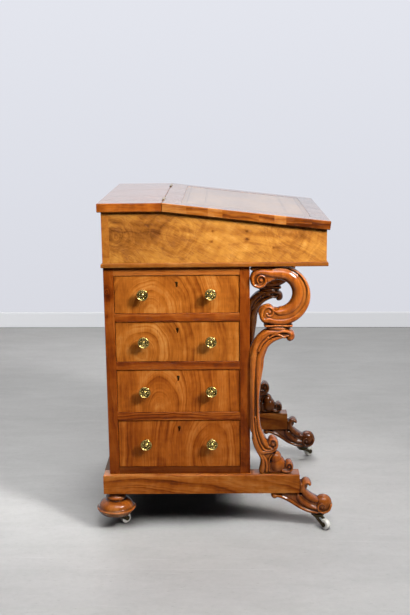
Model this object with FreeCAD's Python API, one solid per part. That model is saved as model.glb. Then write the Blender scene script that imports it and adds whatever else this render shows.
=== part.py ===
"""Davenport desk: a sloping writing box on a pedestal of side drawers, with scroll supports and castors.

Millimetres. +Z is up, the floor is Z = 0, and the origin is under the middle of the whole object.
+X is the sitter's side (front), -Y is the sitter's left, where the drawers open.
"""

import FreeCAD
import Part

import math
import os

Vector = FreeCAD.Vector
UP = Vector(0, 0, 1)
ALONG_X = Vector(1, 0, 0)
ALONG_Y = Vector(0, 1, 0)
SIDES = (("left", -1), ("right", 1))

# Heights, stacked from the floor up
CASTOR_HEIGHT = 36.0
FOOT_HEIGHT = 62.0
RUNNER_HEIGHT = 50.0
BOTTOM_RAIL = 18.0
OPENING_1 = 95.0
OPENING_2 = 102.0
OPENING_3 = 111.0
OPENING_4 = 124.0
RAIL = 21.0
TOP_RAIL = 21.0
BOX_BACK_HEIGHT = 136.0
SLOPE_DROP = 48.0
TOP_BOARD = 22.0

# Front to back: the pedestal and the runners stop short of the front of the box
BOX_DEPTH = 544.0
RIDGE_FROM_BACK = 148.0
TOP_OVERHANG = 9.0
KNEE_DEPTH = 186.0
RUNNER_BEHIND = 16.0
RUNNER_SET_BACK = 61.0

# Side to side: the pedestal stands in from the box, and the base stands out from it
BOX_WIDTH = 516.0
PEDESTAL_INSET = 5.5
BASE_PROUD = 6.0
RUNNER_WIDTH = 42.0

# Fits: a seat that stays put, a running pin, a sliding wooden face, and the overrun of every cut
SEAT_GAP = 0.3
PIN_GAP = 0.05
SLIDE_GAP = 0.3
OVERRUN = 2.0

# Base rails and the edges of the runners
BASE_RAIL_WIDTH = 40.0
TENON_LENGTH = 15.0
TENON_CHEEK = 10.0
RUNNER_EDGE = 3.0

# Bun feet at the back
BUN_INSET = 28.0
BUN_RADIUS = 50.0
BUN_NECK_RADIUS = 20.0
BUN_NECK = 23.0
BUN_SWELL = 3.5
BUN_DOWEL_RADIUS = 11.0
BUN_DOWEL = 8.0
# The body of the bun from its neck down, in shares of its radius and of its height: crown, rim and belly
BUN_CROWN_SHARES = ((0.5, 1.0), (0.71, 0.92), (0.9, 0.66), (0.985, 0.44))
BUN_RIM_SHARES = (1.0, 0.38)
BUN_BELLY_SHARES = ((0.985, 0.32), (0.92, 0.17), (0.74, 0.0))

# Scroll feet at the front: outline shares of the reach past the runner's end and of the drop below it
SCROLL_FOOT_REACH = 84.5
SCROLL_FOOT_WIDTH = 42.0
SCROLL_FOOT_TAIL = 73.0
FOOT_BALL_RADIUS = 25.5
FOOT_BALL_CASTOR = 10.5
FOOT_CURL_RADIUS = 15.0
FOOT_CURL_RISE = 18.0
FOOT_TIP_RADIUS = 9.5
FOOT_EDGE = 6.0
FOOT_EYE_RADIUS = 11.0
FOOT_TOE_SHARE = 0.065
FOOT_NECK_SHARES = ((0.225, 0.257), (0.187, 0.11), (0.249, -0.04), (0.355, -0.193), (0.497, -0.29))
FOOT_BELLY_SHARES = (
    (0.663, -1.018), (0.409, -1.006), (0.193, -0.885), (-0.024, -0.725),
    (-0.208, -0.568), (-0.391, -0.395), (-0.563, -0.258), (-0.71, -0.193),
)

# Castors: brass socket and fork, china wheel
WHEEL_RADIUS = 14.0
WHEEL_WIDTH = 12.0
WHEEL_EDGE = 3.0
AXLE_RADIUS = 2.5
AXLE_HEAD = 1.2
CASTOR_TRAIL = 28.0
SOCKET_RADIUS = 17.0
SOCKET_PLATE = 4.0
SOCKET_TUBE_RADIUS = 6.5
SOCKET_TUBE = 27.0
SOCKET_ROOF = 3.0
PIVOT_RADIUS = 4.0
FORK_PLATE_RADIUS = 12.0
FORK_PLATE = 4.5
FORK_CHEEK = 3.0
FORK_HUB_RADIUS = 6.5
FORK_SIDE_GAP = 0.5
FORK_ROOT_SHARE = 0.6
CASTOR_ANGLES = {"back_left": 41.0, "back_right": -125.0, "front_left": -51.0, "front_right": 44.0}

# Pedestal
STILE = 25.0
STILE_EDGE = 1.0
RAIL_DEPTH = 60.0
RAIL_EDGE = 1.2
STRIP_WIDTH = 22.0
RIGHT_PANEL = 14.0
FALSE_FRONT = 8.0

# Drawers
DRAWER_RECESS = 2.5
DRAWER_FRONT = 20.0
DRAWER_FRONT_EDGE = 1.2
DRAWER_SIDE = 10.0
DRAWER_BACK = 9.0
DRAWER_BOTTOM = 6.0
DRAWER_GAP_SIDE = 0.7
DRAWER_GAP_TOP = 1.2
DRAWER_SIDE_DROP = 5.0
DRAWER_GROOVE = 4.0
DRAWER_BOTTOM_RISE = 8.0
DRAWER_BACK_SPACE = 8.0

# Brass knobs, locks and keyholes
KNOB_SPACING = 166.0
KNOB_RISE_SHARE = 0.02
KNOB_RADIUS = 14.5
KNOB_PROJECTION = 23.0
KNOB_HEAD = 9.0
KNOB_DISH = 2.0
KNOB_DISH_SHARE = 0.68
KNOB_NECK_RADIUS = 5.0
KNOB_ROSE_RADIUS = 9.5
KNOB_ROSE = 2.5
STUD_RADIUS = 2.5
STUD_LENGTH = 13.0
FALSE_STUD_LENGTH = 5.0
LOCK_WIDTH = 44.0
LOCK_HEIGHT = 30.0
LOCK_DEPTH = 8.0
KEYHOLE_DROP = 19.0
KEYHOLE_EYE_RADIUS = 3.6
KEYHOLE_SLOT = 4.6
KEYHOLE_LENGTH = 10.5

# Writing box
BOX_WALL = 14.0
BOX_BACK_WALL = 18.0
BOX_FLOOR = 12.0
BEAD_HEIGHT = 11.0
BEAD_PROUD = 4.2
BEAD_EDGE = 4.0
TOP_EDGE = 2.5
LID_GAP = 0.5
LID_SEAM = 1.4
LEATHER_BORDER = 45.0
LEATHER_RECESS = 1.6
LEATHER_THICKNESS = 1.3
LEATHER_GAP = 0.6

# Butt hinges in the seam between the flat top and the lid
HINGE_LENGTH = 50.0
HINGE_FROM_MIDDLE = 180.0
HINGE_LEAF = 1.5
HINGE_LEAF_DROP = 17.0
HINGE_BARREL_RADIUS = 3.0
HINGE_BARREL_CLEAR = 0.5
HINGE_PIN_RADIUS = 1.4
HINGE_KNUCKLE_COUNT = 3

# Fittings inside the writing box
NEST_BOARD = 6.0
NEST_DEPTH = 118.0
INNER_DRAWER_HEIGHT = 52.0
INNER_WALL = 6.0
INNER_BOTTOM = 4.0
INNER_GAP = 0.5
INNER_KNOB_RADIUS = 7.0
INNER_KNOB_NECK_RADIUS = 3.0
INNER_KNOB_LENGTH = 12.0
PIGEONHOLE_COUNT = 3

# Upper supports: a C scroll, placed from the pedestal's front face and the underside of the box
SCROLL_WIDTH = 40.0
SCROLL_RADIUS = 74.5
SCROLL_OUT = 72.0
HOLLOW_RADIUS = 35.0
HOLLOW_OUT = 69.5
HOLLOW_DOWN = 69.0
UPPER_VOLUTE_RADIUS = 21.7
UPPER_VOLUTE_DOWN = 34.0
LOWER_VOLUTE_RADIUS = 20.0
LOWER_VOLUTE_OUT = 46.0
LOWER_VOLUTE_DOWN = 116.5
UPPER_EYE_RADIUS = 12.5
LOWER_EYE_RADIUS = 9.0
EYE_PROUD = 2.5
SCROLL_EDGE = 7.0
SCROLL_RIM = 11.0
SCROLL_GROOVE = 4.0
SCROLL_GROOVE_DEPTH = 2.5

# Lower supports: an S stem under a pad, with outline shares of its reach and of its height above the runner
STEM_REACH = 111.0
PAD_HEIGHT = 12.0
PAD_SEAT = 8.0
PAD_BACK_SHARE = 0.32
PAD_FRONT_SHARE = 0.92
STEM_BACK_SHARES = (
    (0.32, 1.0), (0.171, 0.953), (0.086, 0.908), (0.033, 0.859), (0.012, 0.793), (0.008, 0.691),
    (0.008, 0.516), (0.012, 0.351), (0.027, 0.275), (0.07, 0.208), (0.153, 0.147), (0.245, 0.094),
    (0.235, 0.047), (0.225, 0.0),
)
STEM_FRONT_SHARES = (
    (0.87, 0.948), (0.743, 0.929), (0.616, 0.92), (0.468, 0.895), (0.341, 0.851), (0.267, 0.8),
    (0.234, 0.754), (0.229, 0.691), (0.219, 0.573), (0.216, 0.463), (0.229, 0.387), (0.265, 0.321),
    (0.324, 0.261), (0.42, 0.2), (0.5, 0.11), (0.55, 0.0),
)
# Round ends of the stem: radius, then the centre as shares of the reach and of the height
STEM_CURL_RADIUS = 15.5
STEM_CURL_SHARES = (0.862, 0.948)
STEM_KNEE_RADIUS = 17.5
STEM_KNEE_SHARES = (0.5, 0.207)
STEM_LOBE_RADIUS = 29.5
STEM_LOBE_SHARES = (0.535, 0.07)
STEM_TOE_RADIUS = 13.0
STEM_TOE_SHARES = (0.88, 0.05)
STEM_EDGE = 7.0

# Levels that follow from the sizes above
RUNNER_Z = CASTOR_HEIGHT + FOOT_HEIGHT
PEDESTAL_Z = RUNNER_Z + RUNNER_HEIGHT
DRAWER_OPENINGS = (OPENING_1, OPENING_2, OPENING_3, OPENING_4)
RAIL_COUNT = len(DRAWER_OPENINGS) - 1
BOX_Z = PEDESTAL_Z + BOTTOM_RAIL + sum(DRAWER_OPENINGS) + RAIL_COUNT * RAIL + TOP_RAIL
TOP_UNDERSIDE_Z = BOX_Z + BOX_BACK_HEIGHT
RIDGE_Z = TOP_UNDERSIDE_Z + TOP_BOARD

PEDESTAL_DEPTH = BOX_DEPTH - KNEE_DEPTH
RUNNER_LENGTH = RUNNER_BEHIND + BOX_DEPTH - RUNNER_SET_BACK

# The object spans from the back of the bun feet to the front of the scroll feet, and the origin is midway
BACK_REACH = BUN_RADIUS - BUN_INSET + RUNNER_BEHIND
FRONT_REACH = RUNNER_LENGTH - RUNNER_BEHIND + SCROLL_FOOT_REACH
BACK_X = (BACK_REACH - FRONT_REACH) / 2
RUNNER_BACK_X = BACK_X - RUNNER_BEHIND
RUNNER_FRONT_X = RUNNER_BACK_X + RUNNER_LENGTH
PEDESTAL_FRONT_X = BACK_X + PEDESTAL_DEPTH
BOX_FRONT_X = BACK_X + BOX_DEPTH
RIDGE_X = BACK_X + RIDGE_FROM_BACK
LID_FRONT_X = BOX_FRONT_X + TOP_OVERHANG
BUN_X = RUNNER_BACK_X + BUN_INSET

BOX_HALF = BOX_WIDTH / 2
PEDESTAL_HALF = BOX_HALF - PEDESTAL_INSET
BASE_HALF = BOX_HALF + BASE_PROUD
TOP_HALF = BOX_HALF + TOP_OVERHANG
RUNNER_MIDDLE = BASE_HALF - RUNNER_WIDTH / 2
BUN_Y = BASE_HALF - BUN_INSET
OPENING_BACK_X = BACK_X + STILE
OPENING_FRONT_X = PEDESTAL_FRONT_X - STILE
DRAWER_MIDDLE_X = (OPENING_BACK_X + OPENING_FRONT_X) / 2
PANEL_Y = PEDESTAL_HALF - FALSE_FRONT - RIGHT_PANEL
FOOT_BALL_X = RUNNER_FRONT_X + SCROLL_FOOT_REACH - FOOT_BALL_RADIUS
CASTOR_FRONT_X = FOOT_BALL_X - FOOT_BALL_CASTOR

SLOPE = math.atan2(SLOPE_DROP, LID_FRONT_X - RIDGE_X)
STEM_HEIGHT = BOX_Z - 2 * SCROLL_RADIUS - PAD_SEAT - PEDESTAL_Z


# Shape helpers

def block(x0, x1, y0, y1, z0, z1):
    """A box between two corners."""
    return Part.makeBox(x1 - x0, y1 - y0, z1 - z0, Vector(x0, y0, z0))


def rod(radius, start, axis, length):
    """A cylinder from a start point along an axis."""
    return Part.makeCylinder(radius, length, start, axis)


def line(start, end):
    return Part.LineSegment(start, end).toShape()


def arc(start, middle, end):
    return Part.Arc(start, middle, end).toShape()


def curve(points):
    """A smooth curve through points."""
    spline = Part.BSplineCurve()
    spline.interpolate(points)
    return spline.toShape()


def polygon(points):
    """Straight edges through points, closed."""
    return [line(a, b) for a, b in zip(points, points[1:] + points[:1])]


def slab(edges, thickness):
    """A closed outline in an XZ plane, given its thickness along Y."""
    return Part.Face(Part.Wire(Part.__sortEdges__(edges))).extrude(Vector(0, thickness, 0))


def turned(edges):
    """A closed outline in the XZ plane, turned about the Z axis."""
    return Part.Face(Part.Wire(Part.__sortEdges__(edges))).revolve(Vector(), UP, 360)


def disc(x, z, radius, y0, y1):
    """A round slab across Y."""
    return rod(radius, Vector(x, y0, z), ALONG_Y, y1 - y0)


def boss(x, z, radius, y0, y1, edge):
    """A round slab across Y with its two rims rounded."""
    body = disc(x, z, radius, y0, y1)
    rims = [e for e in body.Edges if near(e.CenterOfMass.y, y0) or near(e.CenterOfMass.y, y1)]
    return body.makeFillet(edge, rims)


def eyes(x, z, radius, y0, y1, proud):
    """Low domes on the two faces of a volute."""
    curve_radius = (radius ** 2 + proud ** 2) / (2 * proud)
    sunk = curve_radius - proud
    low = Part.makeSphere(curve_radius, Vector(x, y0 + sunk, z))
    high = Part.makeSphere(curve_radius, Vector(x, y1 - sunk, z))
    wide = 2 * radius
    return (
        low.common(disc(x, z, wide, y0 - 2 * proud, y0)),
        high.common(disc(x, z, wide, y1, y1 + 2 * proud)),
    )


def softened(body, radius, y0, y1):
    """Rounds the curved edges of a slab on both of its faces."""
    curved = [e for e in body.Edges if isinstance(e.Curve, Part.BSplineCurve)]
    edges = [e for e in curved if near(e.CenterOfMass.y, y0) or near(e.CenterOfMass.y, y1)]
    return body.makeFillet(radius, edges)


def joined(first, *others):
    return first.fuse(list(others)).removeSplitter()


def eased(shape, radius, chosen):
    """Rounds the edges for which chosen(middle of the edge) holds."""
    edges = [e for e in shape.Edges if chosen(e.CenterOfMass)]
    return shape.makeFillet(radius, edges)


def near(a, b):
    return abs(a - b) < OVERRUN / 10


def mirrored(shape):
    """The same shape on the other side of the desk."""
    return shape.mirror(Vector(), ALONG_Y)


def on_side(shape, sign):
    """A shape made for the left, as it is or mirrored to the right."""
    return shape if sign < 0 else mirrored(shape)


# Base

def runner():
    """Left sledge runner, with mortises for the rails and a hole for the bun foot's dowel."""
    y0, y1 = -BASE_HALF, RUNNER_WIDTH - BASE_HALF
    body = block(RUNNER_BACK_X, RUNNER_FRONT_X, y0, y1, RUNNER_Z, PEDESTAL_Z)
    body = eased(body, RUNNER_EDGE, lambda p: near(p.z, PEDESTAL_Z))
    for x0 in base_rail_places():
        body = body.cut(tenon(x0, -1, SEAT_GAP))
    foot = Vector(BUN_X, -BUN_Y, RUNNER_Z - OVERRUN)
    return body.cut(rod(BUN_DOWEL_RADIUS + SEAT_GAP, foot, UP, BUN_DOWEL + OVERRUN + SEAT_GAP))


def base_rail_places():
    """Back faces of the two rails that tie the runners together."""
    return RUNNER_BACK_X, PEDESTAL_FRONT_X - BASE_RAIL_WIDTH


def tenon(x0, sign, gap):
    """Tenon of a base rail, grown by a gap where it cuts its mortise."""
    root = RUNNER_WIDTH - BASE_HALF
    body = block(
        x0 + TENON_CHEEK - gap, x0 + BASE_RAIL_WIDTH - TENON_CHEEK + gap,
        root - TENON_LENGTH - gap, root,
        RUNNER_Z + TENON_CHEEK - gap, PEDESTAL_Z - TENON_CHEEK + gap,
    )
    return on_side(body, sign)


def base_rails():
    span = BASE_HALF - RUNNER_WIDTH
    rails = []
    for x0 in base_rail_places():
        body = block(x0, x0 + BASE_RAIL_WIDTH, -span, span, RUNNER_Z, PEDESTAL_Z)
        rails.append(joined(body, tenon(x0, -1, 0), tenon(x0, 1, 0)))
    return rails


def bun_foot():
    """Turned left back foot with its dowel and the bore for the castor's socket."""
    top, neck = RUNNER_Z, RUNNER_Z - BUN_NECK

    def at(share):
        return Vector(share[0] * BUN_RADIUS, 0, CASTOR_HEIGHT + share[1] * (neck - CASTOR_HEIGHT))

    crown = [at(s) for s in BUN_CROWN_SHARES]
    belly = [at(s) for s in BUN_BELLY_SHARES]
    points = {
        "axis_top": Vector(0, 0, top + BUN_DOWEL),
        "dowel_top": Vector(BUN_DOWEL_RADIUS, 0, top + BUN_DOWEL),
        "dowel_root": Vector(BUN_DOWEL_RADIUS, 0, top),
        "neck_top": Vector(BUN_NECK_RADIUS, 0, top),
        "neck_swell": Vector(BUN_NECK_RADIUS + BUN_SWELL, 0, top - BUN_NECK / 2),
        "neck_root": Vector(BUN_NECK_RADIUS, 0, neck),
        "axis_sole": Vector(0, 0, CASTOR_HEIGHT),
    }
    edges = [
        line(points["axis_top"], points["dowel_top"]),
        line(points["dowel_top"], points["dowel_root"]),
        line(points["dowel_root"], points["neck_top"]),
        arc(points["neck_top"], points["neck_swell"], points["neck_root"]),
        line(points["neck_root"], crown[0]),
        curve(crown),
        arc(crown[-1], at(BUN_RIM_SHARES), belly[0]),
        curve(belly),
        line(belly[-1], points["axis_sole"]),
        line(points["axis_sole"], points["axis_top"]),
    ]
    foot = turned(edges).translate(Vector(BUN_X, -BUN_Y, 0))
    return foot.cut(socket_bore(BUN_X, -BUN_Y))


def socket_bore(x, y):
    """Hole in a foot for the tube of a castor's socket."""
    depth = SOCKET_TUBE + SEAT_GAP + OVERRUN
    return rod(SOCKET_TUBE_RADIUS + SEAT_GAP, Vector(x, y, CASTOR_HEIGHT - OVERRUN), UP, depth)


def scroll_foot():
    """Left front foot: a scroll that hangs from the runner's end and rolls up over its castor."""
    y0 = -RUNNER_MIDDLE - SCROLL_FOOT_WIDTH / 2
    y1 = y0 + SCROLL_FOOT_WIDTH
    x_end = RUNNER_FRONT_X + SEAT_GAP
    z_end = RUNNER_Z - SEAT_GAP
    curl_x = x_end + FOOT_CURL_RADIUS
    curl_z = RUNNER_Z + FOOT_CURL_RISE
    tail_x = RUNNER_FRONT_X - SCROLL_FOOT_TAIL
    toe_z = RUNNER_Z - FOOT_HEIGHT * FOOT_TOE_SHARE
    ball_z = CASTOR_HEIGHT + FOOT_BALL_RADIUS

    def at(share):
        return Vector(RUNNER_FRONT_X + share[0] * SCROLL_FOOT_REACH, y0, RUNNER_Z + share[1] * FOOT_HEIGHT)

    neck = [at(s) for s in FOOT_NECK_SHARES]
    belly = [at(s) for s in FOOT_BELLY_SHARES]
    ball = Vector(FOOT_BALL_X, y0, ball_z)
    corners = [
        belly[-1], Vector(tail_x, y0, toe_z), Vector(tail_x, y0, z_end), Vector(x_end, y0, z_end),
        Vector(x_end, y0, curl_z), Vector(curl_x, y0, curl_z), neck[0],
    ]
    edges = [line(a, b) for a, b in zip(corners, corners[1:])]
    edges += [curve(neck), line(neck[-1], ball), line(ball, belly[0]), curve(belly)]
    body = joined(
        softened(slab(edges, y1 - y0), FOOT_EDGE, y0, y1),
        boss(curl_x, curl_z, FOOT_CURL_RADIUS, y0, y1, FOOT_EDGE),
        boss(FOOT_BALL_X, ball_z, FOOT_BALL_RADIUS, y0, y1, FOOT_EDGE),
        boss(tail_x + FOOT_TIP_RADIUS, z_end - FOOT_TIP_RADIUS, FOOT_TIP_RADIUS, y0, y1, FOOT_EDGE),
        *eyes(FOOT_BALL_X, ball_z, FOOT_EYE_RADIUS, y0, y1, EYE_PROUD),
    )
    tip_x = RUNNER_FRONT_X + 2 * SCROLL_FOOT_REACH
    sole = block(tail_x, tip_x, y0 - OVERRUN, y1 + OVERRUN, 0, CASTOR_HEIGHT)
    return body.cut(sole).cut(socket_bore(CASTOR_FRONT_X, -RUNNER_MIDDLE))


def castor_places():
    """Where each castor's pivot stands."""
    return {
        "back_left": (BUN_X, -BUN_Y),
        "back_right": (BUN_X, BUN_Y),
        "front_left": (CASTOR_FRONT_X, -RUNNER_MIDDLE),
        "front_right": (CASTOR_FRONT_X, RUNNER_MIDDLE),
    }


def castor_socket(x, y):
    """Brass plate under a foot, with the tube that the fork's pivot turns in."""
    plate_z = CASTOR_HEIGHT - SOCKET_PLATE
    body = joined(
        rod(SOCKET_RADIUS, Vector(x, y, plate_z), UP, SOCKET_PLATE),
        rod(SOCKET_TUBE_RADIUS, Vector(x, y, CASTOR_HEIGHT), UP, SOCKET_TUBE),
    )
    start = Vector(x, y, plate_z - OVERRUN)
    return body.cut(rod(PIVOT_RADIUS + PIN_GAP, start, UP, pivot_length() + OVERRUN + SEAT_GAP))


def pivot_length():
    """Length of the pivot above the underside of the socket's plate."""
    return SOCKET_PLATE + SOCKET_TUBE - SOCKET_ROOF


def castor_fork(name):
    """Brass fork with its pivot, and the axle through its cheeks, turned to its angle at rest."""
    x, y = castor_places()[name]
    plate_top = CASTOR_HEIGHT - SOCKET_PLATE - SEAT_GAP
    plate_z = plate_top - FORK_PLATE
    inner = WHEEL_WIDTH / 2 + FORK_SIDE_GAP
    outer = inner + FORK_CHEEK
    root = FORK_PLATE_RADIUS * FORK_ROOT_SHARE
    hub_x = CASTOR_TRAIL
    body = joined(
        rod(FORK_PLATE_RADIUS, Vector(0, 0, plate_z), UP, FORK_PLATE),
        rod(PIVOT_RADIUS, Vector(0, 0, plate_top), UP, pivot_length() + SEAT_GAP),
    )
    hole = disc(hub_x, WHEEL_RADIUS, AXLE_RADIUS + PIN_GAP, -outer - OVERRUN, outer + OVERRUN)
    for cheek_y in (-outer, inner):
        horn = slab(polygon([
            Vector(-root, cheek_y, plate_z + FORK_PLATE / 2),
            Vector(root, cheek_y, plate_z + FORK_PLATE / 2),
            Vector(hub_x + FORK_HUB_RADIUS, cheek_y, WHEEL_RADIUS),
            Vector(hub_x, cheek_y, WHEEL_RADIUS - FORK_HUB_RADIUS),
        ]), FORK_CHEEK)
        hub = disc(hub_x, WHEEL_RADIUS, FORK_HUB_RADIUS, cheek_y, cheek_y + FORK_CHEEK)
        body = joined(body, horn, hub)
    head = outer + AXLE_HEAD
    axle = disc(hub_x, WHEEL_RADIUS, AXLE_RADIUS, -head, head)
    solids = [body.cut(hole), axle]
    return [placed_castor(s, name, x, y) for s in solids]


def castor_wheel(name):
    """China wheel with a rounded tread."""
    x, y = castor_places()[name]
    half = WHEEL_WIDTH / 2
    body = disc(CASTOR_TRAIL, WHEEL_RADIUS, WHEEL_RADIUS, -half, half)
    body = body.makeFillet(WHEEL_EDGE, [e for e in body.Edges if near(abs(e.CenterOfMass.y), half)])
    bore = disc(CASTOR_TRAIL, WHEEL_RADIUS, AXLE_RADIUS + PIN_GAP, -half - OVERRUN, half + OVERRUN)
    return placed_castor(body.cut(bore), name, x, y)


def placed_castor(shape, name, x, y):
    return shape.rotate(Vector(), UP, CASTOR_ANGLES[name]).translate(Vector(x, y, 0))


# Pedestal

def opening_levels():
    """Bottom and top of each drawer opening, from the top drawer down."""
    levels = []
    top = BOX_Z - TOP_RAIL
    for height in DRAWER_OPENINGS:
        levels.append((top - height, top))
        top -= height + RAIL
    return levels


def pedestal_panel(x0):
    """Thick upright panel whose edges frame the drawers."""
    body = block(x0, x0 + STILE, -PEDESTAL_HALF, PEDESTAL_HALF, PEDESTAL_Z, BOX_Z)
    upright = [e for e in body.Edges if near(e.CenterOfMass.z, (PEDESTAL_Z + BOX_Z) / 2)]
    return body.makeFillet(STILE_EDGE, upright)


def pedestal_bottom_board():
    top = PEDESTAL_Z + BOTTOM_RAIL
    return block(OPENING_BACK_X, OPENING_FRONT_X, -PEDESTAL_HALF, PANEL_Y, PEDESTAL_Z, top)


def rail_levels():
    """Bottom and top of the top rail and of the rails between drawers."""
    bottoms = [top for bottom, top in opening_levels()]
    tops = [BOX_Z] + [bottom for bottom, top in opening_levels()][:-1]
    return list(zip(bottoms, tops))


def drawer_rails():
    """Rails across the drawer side."""
    y0, y1 = -PEDESTAL_HALF, RAIL_DEPTH - PEDESTAL_HALF
    rails = []
    for z0, z1 in rail_levels():
        body = block(OPENING_BACK_X, OPENING_FRONT_X, y0, y1, z0, z1)
        rails.append(eased(body, RAIL_EDGE, lambda p: near(p.y, y0) and near(p.x, DRAWER_MIDDLE_X)))
    return rails


def drawer_runners():
    """Strips behind the rails that the drawer sides slide on."""
    strips = []
    for z0, z1 in rail_levels()[1:]:
        for x0 in (OPENING_BACK_X, OPENING_FRONT_X - STRIP_WIDTH):
            strips.append(block(x0, x0 + STRIP_WIDTH, RAIL_DEPTH - PEDESTAL_HALF, PANEL_Y, z0, z1))
    return strips


def pedestal_right_panel():
    return block(OPENING_BACK_X, OPENING_FRONT_X, PANEL_Y, PANEL_Y + RIGHT_PANEL, PEDESTAL_Z, BOX_Z)


def false_rails():
    """Rails of the dummy drawers on the right."""
    y0, y1 = PEDESTAL_HALF - FALSE_FRONT, PEDESTAL_HALF
    levels = rail_levels() + [(PEDESTAL_Z, PEDESTAL_Z + BOTTOM_RAIL)]
    rails = []
    for z0, z1 in levels:
        body = block(OPENING_BACK_X, OPENING_FRONT_X, y0, y1, z0, z1)
        rails.append(eased(body, RAIL_EDGE, lambda p: near(p.y, y1) and near(p.x, DRAWER_MIDDLE_X)))
    return rails


def false_fronts():
    """Dummy drawer fronts on the right."""
    y0 = PEDESTAL_HALF - FALSE_FRONT
    fronts = []
    for index, (z0, z1) in enumerate(opening_levels()):
        body = block(
            OPENING_BACK_X + DRAWER_GAP_SIDE, OPENING_FRONT_X - DRAWER_GAP_SIDE,
            y0, PEDESTAL_HALF - DRAWER_RECESS, z0 + SLIDE_GAP, z1 - DRAWER_GAP_TOP,
        )
        body = eased(body, DRAWER_FRONT_EDGE, lambda p: near(p.y, PEDESTAL_HALF - DRAWER_RECESS))
        body = body.cut(mirrored(keyhole(z1, FALSE_FRONT)))
        for x in knob_places():
            body = body.cut(mirrored(stud_hole(x, knob_level(index), FALSE_STUD_LENGTH)))
        fronts.append(body)
    return fronts


# Drawers

def drawer_box_size(index):
    """Corners of a closed drawer: X range, Z range, and the Y of its front face and of its back."""
    z0, z1 = opening_levels()[index]
    return (
        OPENING_BACK_X + DRAWER_GAP_SIDE, OPENING_FRONT_X - DRAWER_GAP_SIDE,
        z0 + SLIDE_GAP, z1 - DRAWER_GAP_TOP,
        DRAWER_RECESS - PEDESTAL_HALF, PANEL_Y - DRAWER_BACK_SPACE,
    )


def knob_places():
    return DRAWER_MIDDLE_X - KNOB_SPACING / 2, DRAWER_MIDDLE_X + KNOB_SPACING / 2


def knob_level(index):
    """Knobs sit a little above the middle of their drawer."""
    z0, z1 = opening_levels()[index]
    return (z0 + z1) / 2 + KNOB_RISE_SHARE * (z1 - z0)


def keyhole(opening_top, depth):
    """Keyhole cut into a front on the left, from outside its face inwards."""
    y0 = -PEDESTAL_HALF
    eye_z = opening_top - KEYHOLE_DROP
    eye = rod(KEYHOLE_EYE_RADIUS, Vector(DRAWER_MIDDLE_X, y0 - OVERRUN, eye_z), ALONG_Y, depth + OVERRUN)
    slot = block(
        DRAWER_MIDDLE_X - KEYHOLE_SLOT / 2, DRAWER_MIDDLE_X + KEYHOLE_SLOT / 2,
        y0 - OVERRUN, y0 + depth, eye_z - KEYHOLE_LENGTH, eye_z,
    )
    return joined(eye, slot)


def stud_hole(x, z, length):
    """Hole for a knob's stud in a front on the left."""
    start = Vector(x, -PEDESTAL_HALF - OVERRUN, z)
    return rod(STUD_RADIUS + SEAT_GAP, start, ALONG_Y, OVERRUN + DRAWER_RECESS + length + SEAT_GAP)


def drawer_front(index):
    """Drawer front with its keyhole, the housing of its lock, knob holes and the groove for the bottom."""
    x0, x1, z0, z1, y0, y_back = drawer_box_size(index)
    y1 = y0 + DRAWER_FRONT
    body = block(x0, x1, y0, y1, z0, z1)
    body = eased(body, DRAWER_FRONT_EDGE, lambda p: near(p.y, y0))
    opening_top = opening_levels()[index][1]
    body = body.cut(keyhole(opening_top, DRAWER_RECESS + DRAWER_FRONT))
    body = body.cut(lock_case(index, SEAT_GAP))
    for x in knob_places():
        body = body.cut(stud_hole(x, knob_level(index), STUD_LENGTH))
    return body.cut(drawer_bottom(index, SEAT_GAP))


def drawer_bottom(index, gap):
    """Bottom board held in grooves, grown by a gap where it cuts them."""
    x0, x1, z0, z1, y0, y_back = drawer_box_size(index)
    inset = DRAWER_SIDE - DRAWER_GROOVE
    y_front = y0 + DRAWER_FRONT - DRAWER_GROOVE
    return block(
        x0 + inset - gap, x1 - inset + gap, y_front - gap, y_back,
        z0 + DRAWER_BOTTOM_RISE - gap, z0 + DRAWER_BOTTOM_RISE + DRAWER_BOTTOM + gap,
    )


def drawer_carcase(index):
    """Two sides, back and bottom of a drawer."""
    x0, x1, z0, z1, y0, y_back = drawer_box_size(index)
    y1 = y0 + DRAWER_FRONT
    top = z1 - DRAWER_SIDE_DROP
    bottom = drawer_bottom(index, 0)
    groove = drawer_bottom(index, SEAT_GAP)
    sides = [
        block(a, a + DRAWER_SIDE, y1, y_back, z0, top).cut(groove)
        for a in (x0, x1 - DRAWER_SIDE)
    ]
    back = block(
        x0 + DRAWER_SIDE, x1 - DRAWER_SIDE, y_back - DRAWER_BACK, y_back,
        z0 + DRAWER_BOTTOM_RISE + DRAWER_BOTTOM, top,
    )
    return sides + [back, bottom]


def knob(length):
    """Brass knob along Z: a stud, a small rose, a neck and a dished head."""
    head_z = KNOB_PROJECTION - KNOB_HEAD
    rim = KNOB_PROJECTION - KNOB_DISH
    dish = KNOB_RADIUS * KNOB_DISH_SHARE
    points = [
        Vector(0, 0, -length), Vector(STUD_RADIUS, 0, -length), Vector(STUD_RADIUS, 0, 0),
        Vector(KNOB_ROSE_RADIUS, 0, 0), Vector(KNOB_ROSE_RADIUS, 0, KNOB_ROSE),
        Vector(KNOB_NECK_RADIUS, 0, KNOB_ROSE + KNOB_DISH), Vector(KNOB_NECK_RADIUS, 0, head_z),
        Vector(KNOB_RADIUS, 0, head_z + KNOB_HEAD / 2), Vector(KNOB_RADIUS, 0, rim),
        Vector(dish, 0, KNOB_PROJECTION), Vector(0, 0, KNOB_PROJECTION),
    ]
    return turned(polygon(points))


def knob_on_front(x, z, face, length):
    """A knob whose rose sits on a left face at Y = face."""
    return knob(length).rotate(Vector(), ALONG_X, 90).translate(Vector(x, face, z))


def drawer_knobs(index):
    face = DRAWER_RECESS - PEDESTAL_HALF
    return [knob_on_front(x, knob_level(index), face, STUD_LENGTH) for x in knob_places()]


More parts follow.
